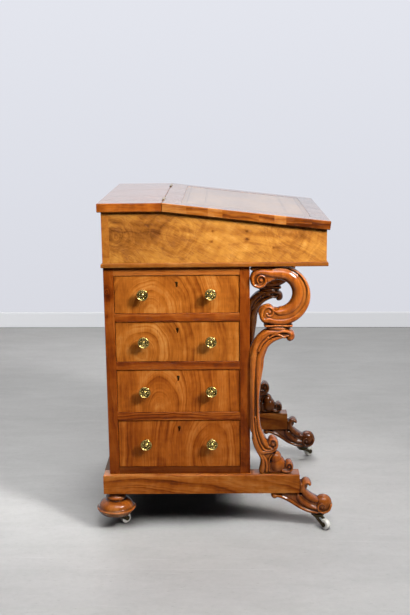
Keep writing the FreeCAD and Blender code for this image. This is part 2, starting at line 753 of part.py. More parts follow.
def false_knobs():
    face = DRAWER_RECESS - PEDESTAL_HALF
    return [
        mirrored(knob_on_front(x, knob_level(index), face, FALSE_STUD_LENGTH))
        for index in range(len(DRAWER_OPENINGS)) for x in knob_places()
    ]


def lock_case(index, gap):
    """Lock let into the back of a drawer front, grown by a gap where it cuts its housing."""
    y1 = DRAWER_RECESS - PEDESTAL_HALF + DRAWER_FRONT
    middle = opening_levels()[index][1] - KEYHOLE_DROP - KEYHOLE_LENGTH / 2
    wide, tall = LOCK_WIDTH / 2 + gap, LOCK_HEIGHT / 2 + gap
    x0, x1 = DRAWER_MIDDLE_X - wide, DRAWER_MIDDLE_X + wide
    return block(x0, x1, y1 - LOCK_DEPTH - gap, y1, middle - tall, middle + tall)


def drawer_lock(index):
    """Lock case with the keyhole through its plate."""
    hole = keyhole(opening_levels()[index][1], DRAWER_RECESS + DRAWER_FRONT - LOCK_DEPTH / 2)
    return lock_case(index, 0).cut(hole)


# Writing box

def slope_level(x):
    """Top of the box walls under the sloping lid, or under the flat top behind the ridge."""
    return TOP_UNDERSIDE_Z - LID_GAP - max(0.0, x - RIDGE_X) * math.tan(SLOPE)


def box_side():
    """Left wall: level behind the ridge, then sloping with the lid."""
    x0, y0 = BACK_X + BOX_BACK_WALL, -BOX_HALF
    corners = [
        (x0, BOX_Z), (BOX_FRONT_X, BOX_Z), (BOX_FRONT_X, slope_level(BOX_FRONT_X)),
        (RIDGE_X, slope_level(RIDGE_X)), (RIDGE_X, TOP_UNDERSIDE_Z), (x0, TOP_UNDERSIDE_Z),
    ]
    return slab(polygon([Vector(x, y0, z) for x, z in corners]), BOX_WALL)


def box_back():
    return block(BACK_X, BACK_X + BOX_BACK_WALL, -BOX_HALF, BOX_HALF, BOX_Z, TOP_UNDERSIDE_Z)


def box_front():
    """Low front wall, with the keyhole and the housing of the lid's lock."""
    x0, x1 = BOX_FRONT_X - BOX_WALL, BOX_FRONT_X
    half = BOX_HALF - BOX_WALL
    corners = [(x0, BOX_Z), (x1, BOX_Z), (x1, slope_level(x1)), (x0, slope_level(x0))]
    body = slab(polygon([Vector(x, -half, z) for x, z in corners]), 2 * half)
    return body.cut(lid_lock_case(SEAT_GAP)).cut(lid_keyhole(BOX_WALL))


def lid_keyhole(depth):
    """Keyhole in the box front, from its outer face inwards."""
    eye_z = slope_level(BOX_FRONT_X) - KEYHOLE_DROP
    x0 = BOX_FRONT_X - depth
    eye = rod(KEYHOLE_EYE_RADIUS, Vector(x0, 0, eye_z), ALONG_X, depth + OVERRUN)
    half = KEYHOLE_SLOT / 2
    slot = block(x0, BOX_FRONT_X + OVERRUN, -half, half, eye_z - KEYHOLE_LENGTH, eye_z)
    return joined(eye, slot)


def lid_lock_case(gap):
    x0 = BOX_FRONT_X - BOX_WALL
    middle = slope_level(BOX_FRONT_X) - KEYHOLE_DROP - KEYHOLE_LENGTH / 2
    wide, tall = LOCK_WIDTH / 2 + gap, LOCK_HEIGHT / 2 + gap
    return block(x0, x0 + LOCK_DEPTH + gap, -wide, wide, middle - tall, middle + tall)


def lid_lock():
    return lid_lock_case(0).cut(lid_keyhole(BOX_WALL - LOCK_DEPTH / 2))


def box_floor():
    half = BOX_HALF - BOX_WALL
    return block(BACK_X + BOX_BACK_WALL, BOX_FRONT_X - BOX_WALL, -half, half, BOX_Z, BOX_Z + BOX_FLOOR)


def box_bead():
    """Rounded moulding round the foot of the box, in four mitred lengths."""
    x0, x1 = BACK_X - BEAD_PROUD, BOX_FRONT_X + BEAD_PROUD
    half = BOX_HALF + BEAD_PROUD
    z0, z1 = BOX_Z, BOX_Z + BEAD_HEIGHT
    body = block(x0, x1, -half, half, z0, z1)
    body = eased(body, BEAD_EDGE, lambda p: near(p.z, z1))
    body = eased(body, BEAD_EDGE / 2, lambda p: near(p.z, z0))
    ring = body.cut(block(BACK_X, BOX_FRONT_X, -BOX_HALF, BOX_HALF, z0 - OVERRUN, z1 + OVERRUN))
    inner_x0, inner_x1 = x0 + half, x1 - half
    sides = [
        [(x0, -half), (x1, -half), (inner_x1, 0), (inner_x0, 0)],
        [(x0, half), (x1, half), (inner_x1, 0), (inner_x0, 0)],
        [(x0, -half), (x0, half), (inner_x0, 0)],
        [(x1, -half), (x1, half), (inner_x1, 0)],
    ]
    lengths = []
    for corners in sides:
        face = Part.Face(Part.Wire(polygon([Vector(x, y, z0) for x, y in corners])))
        lengths.append(ring.common(face.extrude(Vector(0, 0, BEAD_HEIGHT))))
    return lengths


def top_board():
    """Fixed flat top behind the ridge, housed for the hinges."""
    x0, x1 = BACK_X - TOP_OVERHANG, RIDGE_X - LID_SEAM / 2
    middle = (TOP_UNDERSIDE_Z + RIDGE_Z) / 2
    body = block(x0, x1, -TOP_HALF, TOP_HALF, TOP_UNDERSIDE_Z, RIDGE_Z)
    body = eased(body, TOP_EDGE, lambda p: not near(p.x, x1) and not near(p.z, middle))
    for y in hinge_places():
        body = body.cut(hinge_housing(y))
    return body


def lid_plane(x, drop):
    """Point at a distance along X from the ridge and at a depth square to the slope."""
    along = (x - RIDGE_X) / math.cos(SLOPE)
    return Vector(
        RIDGE_X + along * math.cos(SLOPE) - drop * math.sin(SLOPE), 0,
        RIDGE_Z - along * math.sin(SLOPE) - drop * math.cos(SLOPE),
    )


def lid_board():
    """Sloping lid, recessed for the leather and housed for the hinges."""
    seam_x = RIDGE_X + LID_SEAM / 2
    thickness = TOP_BOARD * math.cos(SLOPE)
    top_front = lid_plane(LID_FRONT_X, 0)
    low_front = lid_plane(LID_FRONT_X, thickness)
    top_seam_z = RIDGE_Z - (seam_x - RIDGE_X) * math.tan(SLOPE)
    corners = [
        Vector(seam_x, 0, top_seam_z), top_front, low_front, Vector(seam_x, 0, top_seam_z - TOP_BOARD),
    ]
    shift = Vector(0, -TOP_HALF, 0)
    body = slab(polygon([c + shift for c in corners]), 2 * TOP_HALF)
    middle = (top_front.z + low_front.z) / 2
    body = eased(body, TOP_EDGE, lambda p: not near(p.x, seam_x) and not near(p.z, middle))
    body = body.cut(lid_panel(LEATHER_BORDER, LEATHER_RECESS, -OVERRUN))
    for y in hinge_places():
        body = body.cut(hinge_housing(y))
    return body


def lid_panel(inset, deep, shallow):
    """Rectangle inset from the lid's edges, between two depths below its surface."""
    half = TOP_HALF - inset
    back, front = RIDGE_X + inset, LID_FRONT_X - inset
    corners = [(back, deep), (front, deep), (front, shallow), (back, shallow)]
    shift = Vector(0, -half, 0)
    return slab(polygon([lid_plane(x, drop) + shift for x, drop in corners]), 2 * half)


def writing_leather():
    return lid_panel(LEATHER_BORDER + LEATHER_GAP, LEATHER_RECESS, LEATHER_RECESS - LEATHER_THICKNESS)


# Hinges

def hinge_places():
    return -HINGE_FROM_MIDDLE, HINGE_FROM_MIDDLE


def hinge_housing(y):
    """Space for one hinge: both leaves and the clear round of the barrel."""
    y0, y1 = y - HINGE_LENGTH / 2 - SEAT_GAP, y + HINGE_LENGTH / 2 + SEAT_GAP
    leaf = LID_SEAM / 2 + HINGE_LEAF + SEAT_GAP
    low = RIDGE_Z - HINGE_LEAF_DROP - SEAT_GAP
    body = block(RIDGE_X - leaf, RIDGE_X + leaf, y0, y1, low, RIDGE_Z + OVERRUN)
    return joined(body, disc(RIDGE_X, RIDGE_Z, HINGE_BARREL_RADIUS + HINGE_BARREL_CLEAR, y0, y1))


def hinge_leaf(y, sign, knuckles):
    """One leaf with its knuckles, bored for the pin; sign is -1 on the flat top and 1 on the lid."""
    y0, y1 = y - HINGE_LENGTH / 2, y + HINGE_LENGTH / 2
    knuckle = HINGE_LENGTH / HINGE_KNUCKLE_COUNT
    near_x = RIDGE_X + sign * LID_SEAM / 2
    far_x = near_x + sign * HINGE_LEAF
    x0, x1 = min(near_x, far_x), max(near_x, far_x)
    body = block(x0, x1, y0, y1, RIDGE_Z - HINGE_LEAF_DROP, RIDGE_Z)
    body = body.cut(disc(RIDGE_X, RIDGE_Z, HINGE_BARREL_RADIUS + SEAT_GAP, y0, y1))
    for index in knuckles:
        start = y0 + index * knuckle + PIN_GAP
        end = start + knuckle - 2 * PIN_GAP
        barrel = disc(RIDGE_X, RIDGE_Z, HINGE_BARREL_RADIUS, start, end)
        web = block(x0, x1, start, end, RIDGE_Z - HINGE_BARREL_RADIUS - HINGE_LEAF, RIDGE_Z)
        body = joined(body, barrel, web)
    return body.cut(disc(RIDGE_X, RIDGE_Z, HINGE_PIN_RADIUS + PIN_GAP, y0 - OVERRUN, y1 + OVERRUN))


def hinge_top_leaves():
    """Leaves on the flat top, which carry the outer knuckles."""
    outer = [i for i in range(HINGE_KNUCKLE_COUNT) if i % 2 == 0]
    return [hinge_leaf(y, -1, outer) for y in hinge_places()]


def hinge_lid_leaves():
    """Leaves on the lid, which carry the inner knuckles and the pins."""
    inner = [i for i in range(HINGE_KNUCKLE_COUNT) if i % 2]
    leaves = [hinge_leaf(y, 1, inner) for y in hinge_places()]
    half = HINGE_LENGTH / 2
    pins = [disc(RIDGE_X, RIDGE_Z, HINGE_PIN_RADIUS, y - half, y + half) for y in hinge_places()]
    return leaves + pins


# Fittings inside the writing box

def nest_levels():
    """Floor of the box, and the underside and top of the shelf over the small drawers."""
    floor = BOX_Z + BOX_FLOOR
    shelf = floor + INNER_DRAWER_HEIGHT
    return floor, shelf, shelf + NEST_BOARD


def pigeonhole_nest():
    """Shelf, the upright between the two small drawers, and the pigeonhole partitions."""
    floor, shelf, top = nest_levels()
    x0 = BACK_X + BOX_BACK_WALL
    x1 = x0 + NEST_DEPTH
    half = BOX_HALF - BOX_WALL
    pieces = [
        block(x0, x1, -half, half, shelf, top),
        block(x0, x1, -NEST_BOARD / 2, NEST_BOARD / 2, floor, shelf),
    ]
    pitch = 2 * half / PIGEONHOLE_COUNT
    for index in range(1, PIGEONHOLE_COUNT):
        y = index * pitch - half
        pieces.append(block(x0, x1, y - NEST_BOARD / 2, y + NEST_BOARD / 2, top, TOP_UNDERSIDE_Z))
    return pieces


def inner_drawer():
    """Small left drawer under the shelf: front, sides, back, bottom and knob."""
    floor, shelf, top = nest_levels()
    x0 = BACK_X + BOX_BACK_WALL + INNER_GAP
    x1 = BACK_X + BOX_BACK_WALL + NEST_DEPTH
    y0, y1 = BOX_WALL - BOX_HALF + INNER_GAP, -NEST_BOARD / 2 - INNER_GAP
    z0, z1 = floor + SLIDE_GAP, shelf - INNER_GAP
    x_front = x1 - INNER_WALL
    middle_y, middle_z = (y0 + y1) / 2, (z0 + z1) / 2
    front = block(x_front, x1, y0, y1, z0, z1)
    sides = [block(x0, x_front, y, y + INNER_WALL, z0, z1) for y in (y0, y1 - INNER_WALL)]
    back = block(x0, x0 + INNER_WALL, y0 + INNER_WALL, y1 - INNER_WALL, z0, z1)
    bottom = block(x0 + INNER_WALL, x_front, y0 + INNER_WALL, y1 - INNER_WALL, z0, z0 + INNER_BOTTOM)
    neck = INNER_KNOB_LENGTH - INNER_KNOB_RADIUS
    ball = Part.makeSphere(INNER_KNOB_RADIUS, Vector(x1 + neck, middle_y, middle_z))
    ball = ball.cut(block(x1 - INNER_KNOB_LENGTH, x1, y0, y1, z0, z1))
    pull = joined(ball, rod(INNER_KNOB_NECK_RADIUS, Vector(x1, middle_y, middle_z), ALONG_X, neck))
    return [front, back, bottom, pull] + sides


# Supports

def support_scroll():
    """Left upper support: a C scroll between the box and the stem, with a volute at each end."""
    y0 = -RUNNER_MIDDLE - SCROLL_WIDTH / 2
    y1 = y0 + SCROLL_WIDTH
    ring_x, ring_z = PEDESTAL_FRONT_X + SCROLL_OUT, BOX_Z - SCROLL_RADIUS
    hollow_x, hollow_z = PEDESTAL_FRONT_X + HOLLOW_OUT, BOX_Z - HOLLOW_DOWN
    low_x, low_z = PEDESTAL_FRONT_X + LOWER_VOLUTE_OUT, BOX_Z - LOWER_VOLUTE_DOWN
    high_x, high_z = PEDESTAL_FRONT_X + UPPER_VOLUTE_RADIUS, BOX_Z - UPPER_VOLUTE_DOWN
    bar_z = hollow_z + HOLLOW_RADIUS
    mouth_z = hollow_z - HOLLOW_RADIUS
    c0, c1 = y0 - OVERRUN, y1 + OVERRUN
    far_x = PEDESTAL_FRONT_X - SCROLL_RADIUS
    ring = boss(ring_x, ring_z, SCROLL_RADIUS, y0, y1, SCROLL_EDGE)
    ring = ring.cut(disc(hollow_x, hollow_z, HOLLOW_RADIUS, c0, c1))
    ring = ring.cut(block(far_x, hollow_x, c0, c1, mouth_z, BOX_Z))
    ring = ring.cut(block(far_x, low_x - LOWER_VOLUTE_RADIUS / 2, c0, c1, ring_z - SCROLL_RADIUS, mouth_z))
    body = joined(
        ring,
        block(PEDESTAL_FRONT_X, ring_x, y0, y1, bar_z, BOX_Z),
        boss(high_x, high_z, UPPER_VOLUTE_RADIUS, y0, y1, SCROLL_EDGE),
        boss(low_x, low_z, LOWER_VOLUTE_RADIUS, y0, y1, SCROLL_EDGE),
        *eyes(high_x, high_z, UPPER_EYE_RADIUS, y0, y1, EYE_PROUD),
        *eyes(low_x, low_z, LOWER_EYE_RADIUS, y0, y1, EYE_PROUD),
    )
    rim = SCROLL_RADIUS - SCROLL_RIM
    for g0, g1 in ((c0, y0 + SCROLL_GROOVE_DEPTH), (y1 - SCROLL_GROOVE_DEPTH, c1)):
        groove = disc(ring_x, ring_z, rim, g0, g1).cut(disc(ring_x, ring_z, rim - SCROLL_GROOVE, g0, g1))
        outer_half = block(ring_x, ring_x + SCROLL_RADIUS, g0, g1, ring_z - rim, ring_z + rim)
        body = body.cut(groove.common(outer_half))
    return body


def support_stem():
    """Left lower support: an S stem from the pad under the C scroll to the lobes on the runner."""
    y0 = -RUNNER_MIDDLE - SCROLL_WIDTH / 2
    y1 = y0 + SCROLL_WIDTH

    def at(share):
        return Vector(PEDESTAL_FRONT_X + share[0] * STEM_REACH, y0, PEDESTAL_Z + share[1] * STEM_HEIGHT)

    back = [at(s) for s in STEM_BACK_SHARES]
    front = [at(s) for s in STEM_FRONT_SHARES]
    pad_x0 = PEDESTAL_FRONT_X + PAD_BACK_SHARE * STEM_REACH
    pad_x1 = PEDESTAL_FRONT_X + PAD_FRONT_SHARE * STEM_REACH
    stem_top = PEDESTAL_Z + STEM_HEIGHT
    shoulder = Vector(pad_x1, y0, stem_top)
    edges = [line(back[0], shoulder), line(shoulder, front[0]), line(front[-1], back[-1])]
    edges += [curve(front), curve(back)]
    body = softened(slab(edges, y1 - y0), STEM_EDGE, y0, y1)
    lobe, toe = at(STEM_LOBE_SHARES), at(STEM_TOE_SHARES)
    rounds = [block(lobe.x, toe.x, y0 + STEM_EDGE, y1 - STEM_EDGE, PEDESTAL_Z, toe.z)]
    for radius, share in (
        (STEM_CURL_RADIUS, STEM_CURL_SHARES), (STEM_KNEE_RADIUS, STEM_KNEE_SHARES),
        (STEM_LOBE_RADIUS, STEM_LOBE_SHARES), (STEM_TOE_RADIUS, STEM_TOE_SHARES),
    ):
        centre = at(share)
        rounds.append(boss(centre.x, centre.z, radius, y0, y1, STEM_EDGE))
    pad = block(pad_x0, pad_x1, y0, y1, stem_top, stem_top + PAD_HEIGHT)
    body = joined(body, pad, *rounds)
    c0, c1 = y0 - OVERRUN, y1 + OVERRUN
    scroll_x, scroll_z = PEDESTAL_FRONT_X + SCROLL_OUT, BOX_Z - SCROLL_RADIUS
    body = body.cut(disc(scroll_x, scroll_z, SCROLL_RADIUS + SEAT_GAP, c0, c1))
    below = block(PEDESTAL_FRONT_X, PEDESTAL_FRONT_X + 2 * STEM_REACH, c0, c1, RUNNER_Z, PEDESTAL_Z)
    return body.cut(below)


def sub_parts():
    """Every node's name with its solids."""
    parts = {
        "base_cross_rails": base_rails(),
        "pedestal_back_panel": [pedestal_panel(BACK_X)],
        "pedestal_front_panel": [pedestal_panel(PEDESTAL_FRONT_X - STILE)],
        "pedestal_right_panel": [pedestal_right_panel()],
        "pedestal_bottom_board": [pedestal_bottom_board()],
        "drawer_rails": drawer_rails(),
        "drawer_runners": drawer_runners(),
        "false_drawer_rails": false_rails(),
        "false_drawer_fronts": false_fronts(),
        "false_drawer_knobs": false_knobs(),
        "box_floor": [box_floor()],
        "box_back": [box_back()],
        "box_front": [box_front()],
        "box_bead": box_bead(),
        "top_board": [top_board()],
        "lid_board": [lid_board()],
        "lid_lock": [lid_lock()],
        "writing_leather": [writing_leather()],
        "hinge_top_leaves": hinge_top_leaves(),
        "hinge_lid_leaves": hinge_lid_leaves(),
        "pigeonhole_nest": pigeonhole_nest(),
        "castor_sockets": [castor_socket(x, y) for x, y in castor_places().values()],
    }
    for name, sign in SIDES:
        parts[f"runner_{name}"] = [on_side(runner(), sign)]
        parts[f"bun_foot_{name}"] = [on_side(bun_foot(), sign)]
        parts[f"scroll_foot_{name}"] = [on_side(scroll_foot(), sign)]
        parts[f"support_scroll_{name}"] = [on_side(support_scroll(), sign)]
        parts[f"support_stem_{name}"] = [on_side(support_stem(), sign)]
        parts[f"box_side_{name}"] = [on_side(box_side(), sign)]
        parts[f"inner_drawer_{name}"] = [on_side(solid, sign) for solid in inner_drawer()]
    for index in range(len(DRAWER_OPENINGS)):
        number = index + 1
        parts[f"drawer_{number}_front"] = [drawer_front(index)]
        parts[f"drawer_{number}_carcase"] = drawer_carcase(index)
        parts[f"drawer_{number}_knobs"] = drawer_knobs(index)
        parts[f"drawer_{number}_lock"] = [drawer_lock(index)]
    for name in castor_places():
        parts[f"castor_fork_{name}"] = castor_fork(name)
        parts[f"castor_wheel_{name}"] = [castor_wheel(name)]
    return parts


def main():
    os.makedirs("parts", exist_ok=True)
    for name, solids in sub_parts().items():
        Part.makeCompound(solids).exportStep(os.path.join("parts", name + ".step"))


if __name__ == "__main__":
    main()
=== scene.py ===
"""Davenport desk in walnut on the CAD frame: carving, turning, knobs, wood figure, leather and studio."""

import math
from itertools import product

import bpy
import numpy as np
from mathutils import Matrix, Vector


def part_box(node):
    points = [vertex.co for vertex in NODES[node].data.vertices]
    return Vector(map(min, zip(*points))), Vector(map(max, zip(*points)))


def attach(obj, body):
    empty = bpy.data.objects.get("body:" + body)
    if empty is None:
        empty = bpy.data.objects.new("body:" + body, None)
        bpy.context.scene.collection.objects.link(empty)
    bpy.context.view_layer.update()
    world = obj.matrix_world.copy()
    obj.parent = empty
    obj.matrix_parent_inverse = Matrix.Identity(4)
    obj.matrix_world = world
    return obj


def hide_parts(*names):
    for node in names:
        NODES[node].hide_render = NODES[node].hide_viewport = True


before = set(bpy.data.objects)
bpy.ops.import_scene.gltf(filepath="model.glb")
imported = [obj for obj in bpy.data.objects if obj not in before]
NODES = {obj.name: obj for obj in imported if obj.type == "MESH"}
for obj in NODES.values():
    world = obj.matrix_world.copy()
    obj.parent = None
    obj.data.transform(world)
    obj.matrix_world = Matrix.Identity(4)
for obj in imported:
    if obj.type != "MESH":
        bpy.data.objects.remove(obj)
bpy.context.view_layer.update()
SIDES = ("left", "right")
MM = 0.001
EVEN = (1.0, 1.0, 1.0)


# Materials

class Nodes:
    """A node tree, built from small steps."""

    def __init__(self, tree):
        self.tree = tree
        self.tree.nodes.clear()

    def add(self, kind, **settings):
        node = self.tree.nodes.new(kind)
        for key, value in settings.items():
            setattr(node, key, value)
        return node

    def put(self, socket, value):
        if isinstance(value, bpy.types.NodeSocket):
            self.tree.links.new(value, socket)
        else:
            socket.default_value = value

    def math(self, operation, *values):
        node = self.add("ShaderNodeMath", operation=operation)
        for socket, value in zip(node.inputs, values):
            self.put(socket, value)
        return node.outputs[0]

    def times(self, first, second):
        return self.math("MULTIPLY", first, second)

    def total(self, *terms):
        result = terms[0]
        for term in terms[1:]:
            result = self.math("ADD", result, term)
        return result

    def centred(self, value, gain):
        """A noise value moved to run about zero, times a gain."""
        return self.times(self.math("SUBTRACT", value, 0.5), gain)

    def ramp(self, value, stops, mode="LINEAR"):
        node = self.add("ShaderNodeValToRGB")
        node.color_ramp.interpolation = mode
        while len(node.color_ramp.elements) < len(stops):
            node.color_ramp.elements.new(1.0)
        for element, (position, colour) in zip(node.color_ramp.elements, stops):
            element.position = position
            grey = isinstance(colour, (int, float))
            element.color = (colour, colour, colour, 1.0) if grey else (*colour, 1.0)
        self.put(node.inputs[0], value)
        return node.outputs[0]

    def blend(self, factor, first, second, mode="MIX"):
        node = self.add("ShaderNodeMix", data_type="RGBA", blend_type=mode)
        node.clamp_factor = True
        self.put(node.inputs["Factor"], factor)
        for socket, value in zip(node.inputs[6:8], (first, second)):
            self.put(socket, value if isinstance(value, bpy.types.NodeSocket) else (*value, 1.0))
        return node.outputs[2]


class Paint(Nodes):
    """A material of one principled shader."""

    def __init__(self, name, **constants):
        self.material = bpy.data.materials.new(name)
        self.material.use_nodes = True
        super().__init__(self.material.node_tree)
        out = self.add("ShaderNodeOutputMaterial")
        self.bsdf = self.add("ShaderNodeBsdfPrincipled")
        self.put(out.inputs[0], self.bsdf.outputs[0])
        for key, value in constants.items():
            self.bsdf.inputs[key.replace("_", " ")].default_value = value
        self.place = self.add("ShaderNodeTexCoord").outputs["Object"]
        split = self.add("ShaderNodeSeparateXYZ")
        self.put(split.inputs[0], self.place)
        self.axis = dict(zip("XYZ", split.outputs))

    def stretched(self, scale, shift=(0.0, 0.0, 0.0), place=None):
        """A place times a scale, plus a shift."""
        node = self.add("ShaderNodeVectorMath", operation="MULTIPLY_ADD")
        for socket, value in zip(node.inputs, (place or self.place, scale, shift)):
            self.put(socket, value)
        return node.outputs[0]

    def turned(self, degrees):
        """The place turned about Y."""
        node = self.add("ShaderNodeVectorRotate", rotation_type="Y_AXIS")
        self.put(node.inputs["Vector"], self.place)
        node.inputs["Angle"].default_value = math.radians(degrees)
        return node.outputs[0]

    def tilt(self):
        """Height of the face's normal on the piece: one looking up, minus one looking down."""
        facing = self.add("ShaderNodeSeparateXYZ")
        self.put(facing.inputs[0], self.add("ShaderNodeTexCoord").outputs["Normal"])
        return facing.outputs["Z"]

    def upward(self):
        """One on faces that look up, none on the rest."""
        return self.ramp(self.tilt(), [(0.6, 0.0), (0.95, 1.0)])

    def seen(self):
        """One for what the camera, polish or glass looks at, none for light that bounces."""
        rays = self.add("ShaderNodeLightPath").outputs
        polished = self.math("MAXIMUM", rays["Is Camera Ray"], rays["Is Glossy Ray"])
        return self.math("MAXIMUM", polished, rays["Is Transmission Ray"])

    def openness(self, reach, samples):
        """One in the open, none in a deep corner."""
        node = self.add("ShaderNodeAmbientOcclusion", samples=samples)
        node.inputs["Distance"].default_value = reach
        return node.outputs["AO"]

    def noise_node(self, place, scale, detail=2.0, roughness=0.5, distortion=0.0):
        node = self.add("ShaderNodeTexNoise")
        keys = ("Vector", "Scale", "Detail", "Roughness", "Distortion")
        for key, value in zip(keys, (place, scale, detail, roughness, distortion)):
            self.put(node.inputs[key], value)
        return node

    def noise(self, *settings):
        return self.noise_node(*settings).outputs[0]

    def warped(self, place, scale, amount):
        """A place pushed about by noise of its own in each direction."""
        push = self.noise_node(place, scale, 3.0).outputs["Color"]
        pushed = self.stretched((amount, amount, amount), place, push)
        return self.stretched(EVEN, (-amount / 2, -amount / 2, -amount / 2), pushed)

    def line_noise(self, distance, scale, detail, roughness):
        node = self.add("ShaderNodeTexNoise", noise_dimensions="1D")
        for key, value in zip(("W", "Scale", "Detail", "Roughness"), (distance, scale, detail, roughness)):
            self.put(node.inputs[key], value)
        return node.outputs[0]

    def close(self, colour, roughness, height, depth):
        """Sets colour, roughness and bumps of a depth in metres, and returns the material."""
        bump = self.add("ShaderNodeBump")
        bump.inputs["Distance"].default_value = depth
        self.put(bump.inputs["Height"], height)
        for key, value in (("Base Color", colour), ("Roughness", roughness), ("Normal", bump.outputs[0])):
            self.put(self.bsdf.inputs[key], value)
        return self.material


WALNUT_TONES = (
    (0.085, 0.017, 0.002),
    (0.225, 0.055, 0.0055),
    (0.385, 0.116, 0.0132),
    (0.56, 0.232, 0.052),
)
TONE_STOPS = (0.0, 0.32, 0.62, 1.0)
PORE_COLOUR, TOP_GREY_COLOUR = (0.05, 0.012, 0.003), (0.13, 0.10, 0.085)

# Wood noises: scale, detail, roughness and distortion
SLOW, QUICK, DRIFT, FADE = (7.0, 3.0), (26.0, 3.0), (9.0, 2.0), (20.0, 3.0)
CLOUD, MOTTLE, SWIRL = (11.0, 3.0, 0.55), (75.0, 3.0, 0.6), (15.0, 4.0, 0.55, 1.6)
HAIR, PORES, WAVE = (1.0, 3.0, 0.6), (1.0, 1.0, 0.4), (1.0, 2.0, 0.5, 0.6)
# Wood noises: how finely they are drawn along the grain and across it
DRAWN_GRAIN, HAIR_GRAIN, PORE_GRAIN, WAVE_GRAIN = (0.22, 1.0), (9.0, 420.0), (55.0, 1300.0), (75.0, 14.0)
# How much each part of the figure adds to the tone
MEAN_TONE, RING_TONE, STREAK_TONE, FIBRE_TONE, RIPPLE_TONE = 0.56, 1.3, 0.5, 1.4, 2.0
CLOUD_TONE, MOTTLE_TONE, PORE_DARK = 0.5, 0.42, 0.45
# Veneer patches: how far their rings move, how light or dark they get, and the tilt under which none show
PATCH_MOVE, PATCH_TONE, PATCH_TILT = 0.31, 0.6, -0.5
# Eyes: the largest knot with a plain edge, and scale and amount of what bends knots and eyes
SMALL_KNOT = 20.0
KNOT_BEND, EYE_BEND, EYE_RIPPLE = (60.0, 0.012), (11.0, 0.07), (42.0, 0.016)
# Dirt and painted shade in carving: by how hollow a place is, darker in hollows as dirt and painted shade and
# lighter on ridges as wear and painted highlight; by how sheltered, painted shade
HOLLOW_DIRT_AND_SHADE_STOPS = [(0.40, 0.05), (0.48, 0.42), (0.505, 0.93), (0.57, 1.35)]
SHELTER_PAINTED_SHADE_STOPS, SHELTER_REACH, SHELTER_SAMPLES = [(0.28, 0.12), (0.8, 1.0)], 0.016, 6
POLISH_ROUGHNESS, WOOD_SPECULAR, GRAIN_DEPTH = 0.09, 0.08, 0.00022


def tones(gain, warm=1.0):
    """The walnut tones, lighter or darker, and redder when warm is under one."""
    return tuple((r * gain, g * gain * warm, b * gain * warm ** 2) for r, g, b in WALNUT_TONES)


def ring_distance(paint, along, across, pith, face, cone, deep, warp, moved, drawn):
    """Distance from the pith, which leans away from the face as a cone does, pushed about by noise."""
    third = ({"X", "Y", "Z"} - {along, across}).pop()
    slow = paint.centred(paint.noise(moved, *SLOW), 2.0 * warp * MM)
    quick = paint.centred(paint.noise(drawn, *QUICK), 0.8 * warp * MM)
    drift = paint.centred(paint.noise(drawn, *DRIFT), 2.4 * warp * MM)
    u = paint.total(paint.axis[across], -pith[0] * MM, slow, quick)
    v = paint.math("SUBTRACT", paint.axis[along], pith[1] * MM)
    d = paint.total(paint.times(v, cone), (deep - face) * MM, drift, paint.axis[third])
    return paint.math("SQRT", paint.math("ADD", paint.times(u, u), paint.times(d, d)))


def veneer_patches(paint, patches, run):
    """Tone of each patch, from its start along an axis: run is the axis, its length and its start."""
    axis, length, start = run
    span = paint.math("MULTIPLY_ADD", paint.axis[axis], 1.0 / length, start)
    patch = paint.ramp(span, patches, "CONSTANT")
    return paint.blend(paint.math("GREATER_THAN", paint.tilt(), PATCH_TILT), (0.5, 0.5, 0.5), patch)


def eye_marks(paint, eyes):
    """Dark rings and knots at places in the XZ plane."""
    if not eyes:
        return []
    flat = paint.stretched((1.0, 0.0, 1.0))
    knot_place = paint.warped(flat, *KNOT_BEND)
    eye_place = paint.warped(paint.warped(flat, *EYE_BEND), *EYE_RIPPLE)
    marks = []
    for x, z, size, spread, dark in eyes:
        gap = paint.add("ShaderNodeVectorMath", operation="DISTANCE")
        paint.put(gap.inputs[0], eye_place if size > SMALL_KNOT else knot_place)
        gap.inputs[1].default_value = (x * MM, 0.0, z * MM)
        far = gap.outputs["Value"]
        near = paint.math("POWER", paint.math("DIVIDE", far, size * MM), 2.0)
        reach = paint.math("POWER", 2.718, paint.times(near, -1.0))
        if spread:
            rings = paint.line_noise(far, 1.0 / (spread * MM), 2.0, 0.5)
            reach = paint.times(reach, paint.ramp(rings, [(0.3, 1.0), (0.68, 0.0)]))
        marks.append(paint.times(reach, -dark))
    return marks


def carving_dirt_and_shade(paint, colour):
    """A colour darkened in hollows as dirt and painted shade, darkened in sheltered corners as painted shade,
    and brightened on edges as wear and painted highlight.
    """
    curvature = paint.ramp(paint.add("ShaderNodeNewGeometry").outputs["Pointiness"], HOLLOW_DIRT_AND_SHADE_STOPS)
    painted_corner_shade = paint.ramp(paint.openness(SHELTER_REACH, SHELTER_SAMPLES), SHELTER_PAINTED_SHADE_STOPS)
    return paint.blend(1.0, paint.blend(1.0, colour, curvature, "MULTIPLY"), painted_corner_shade, "MULTIPLY")


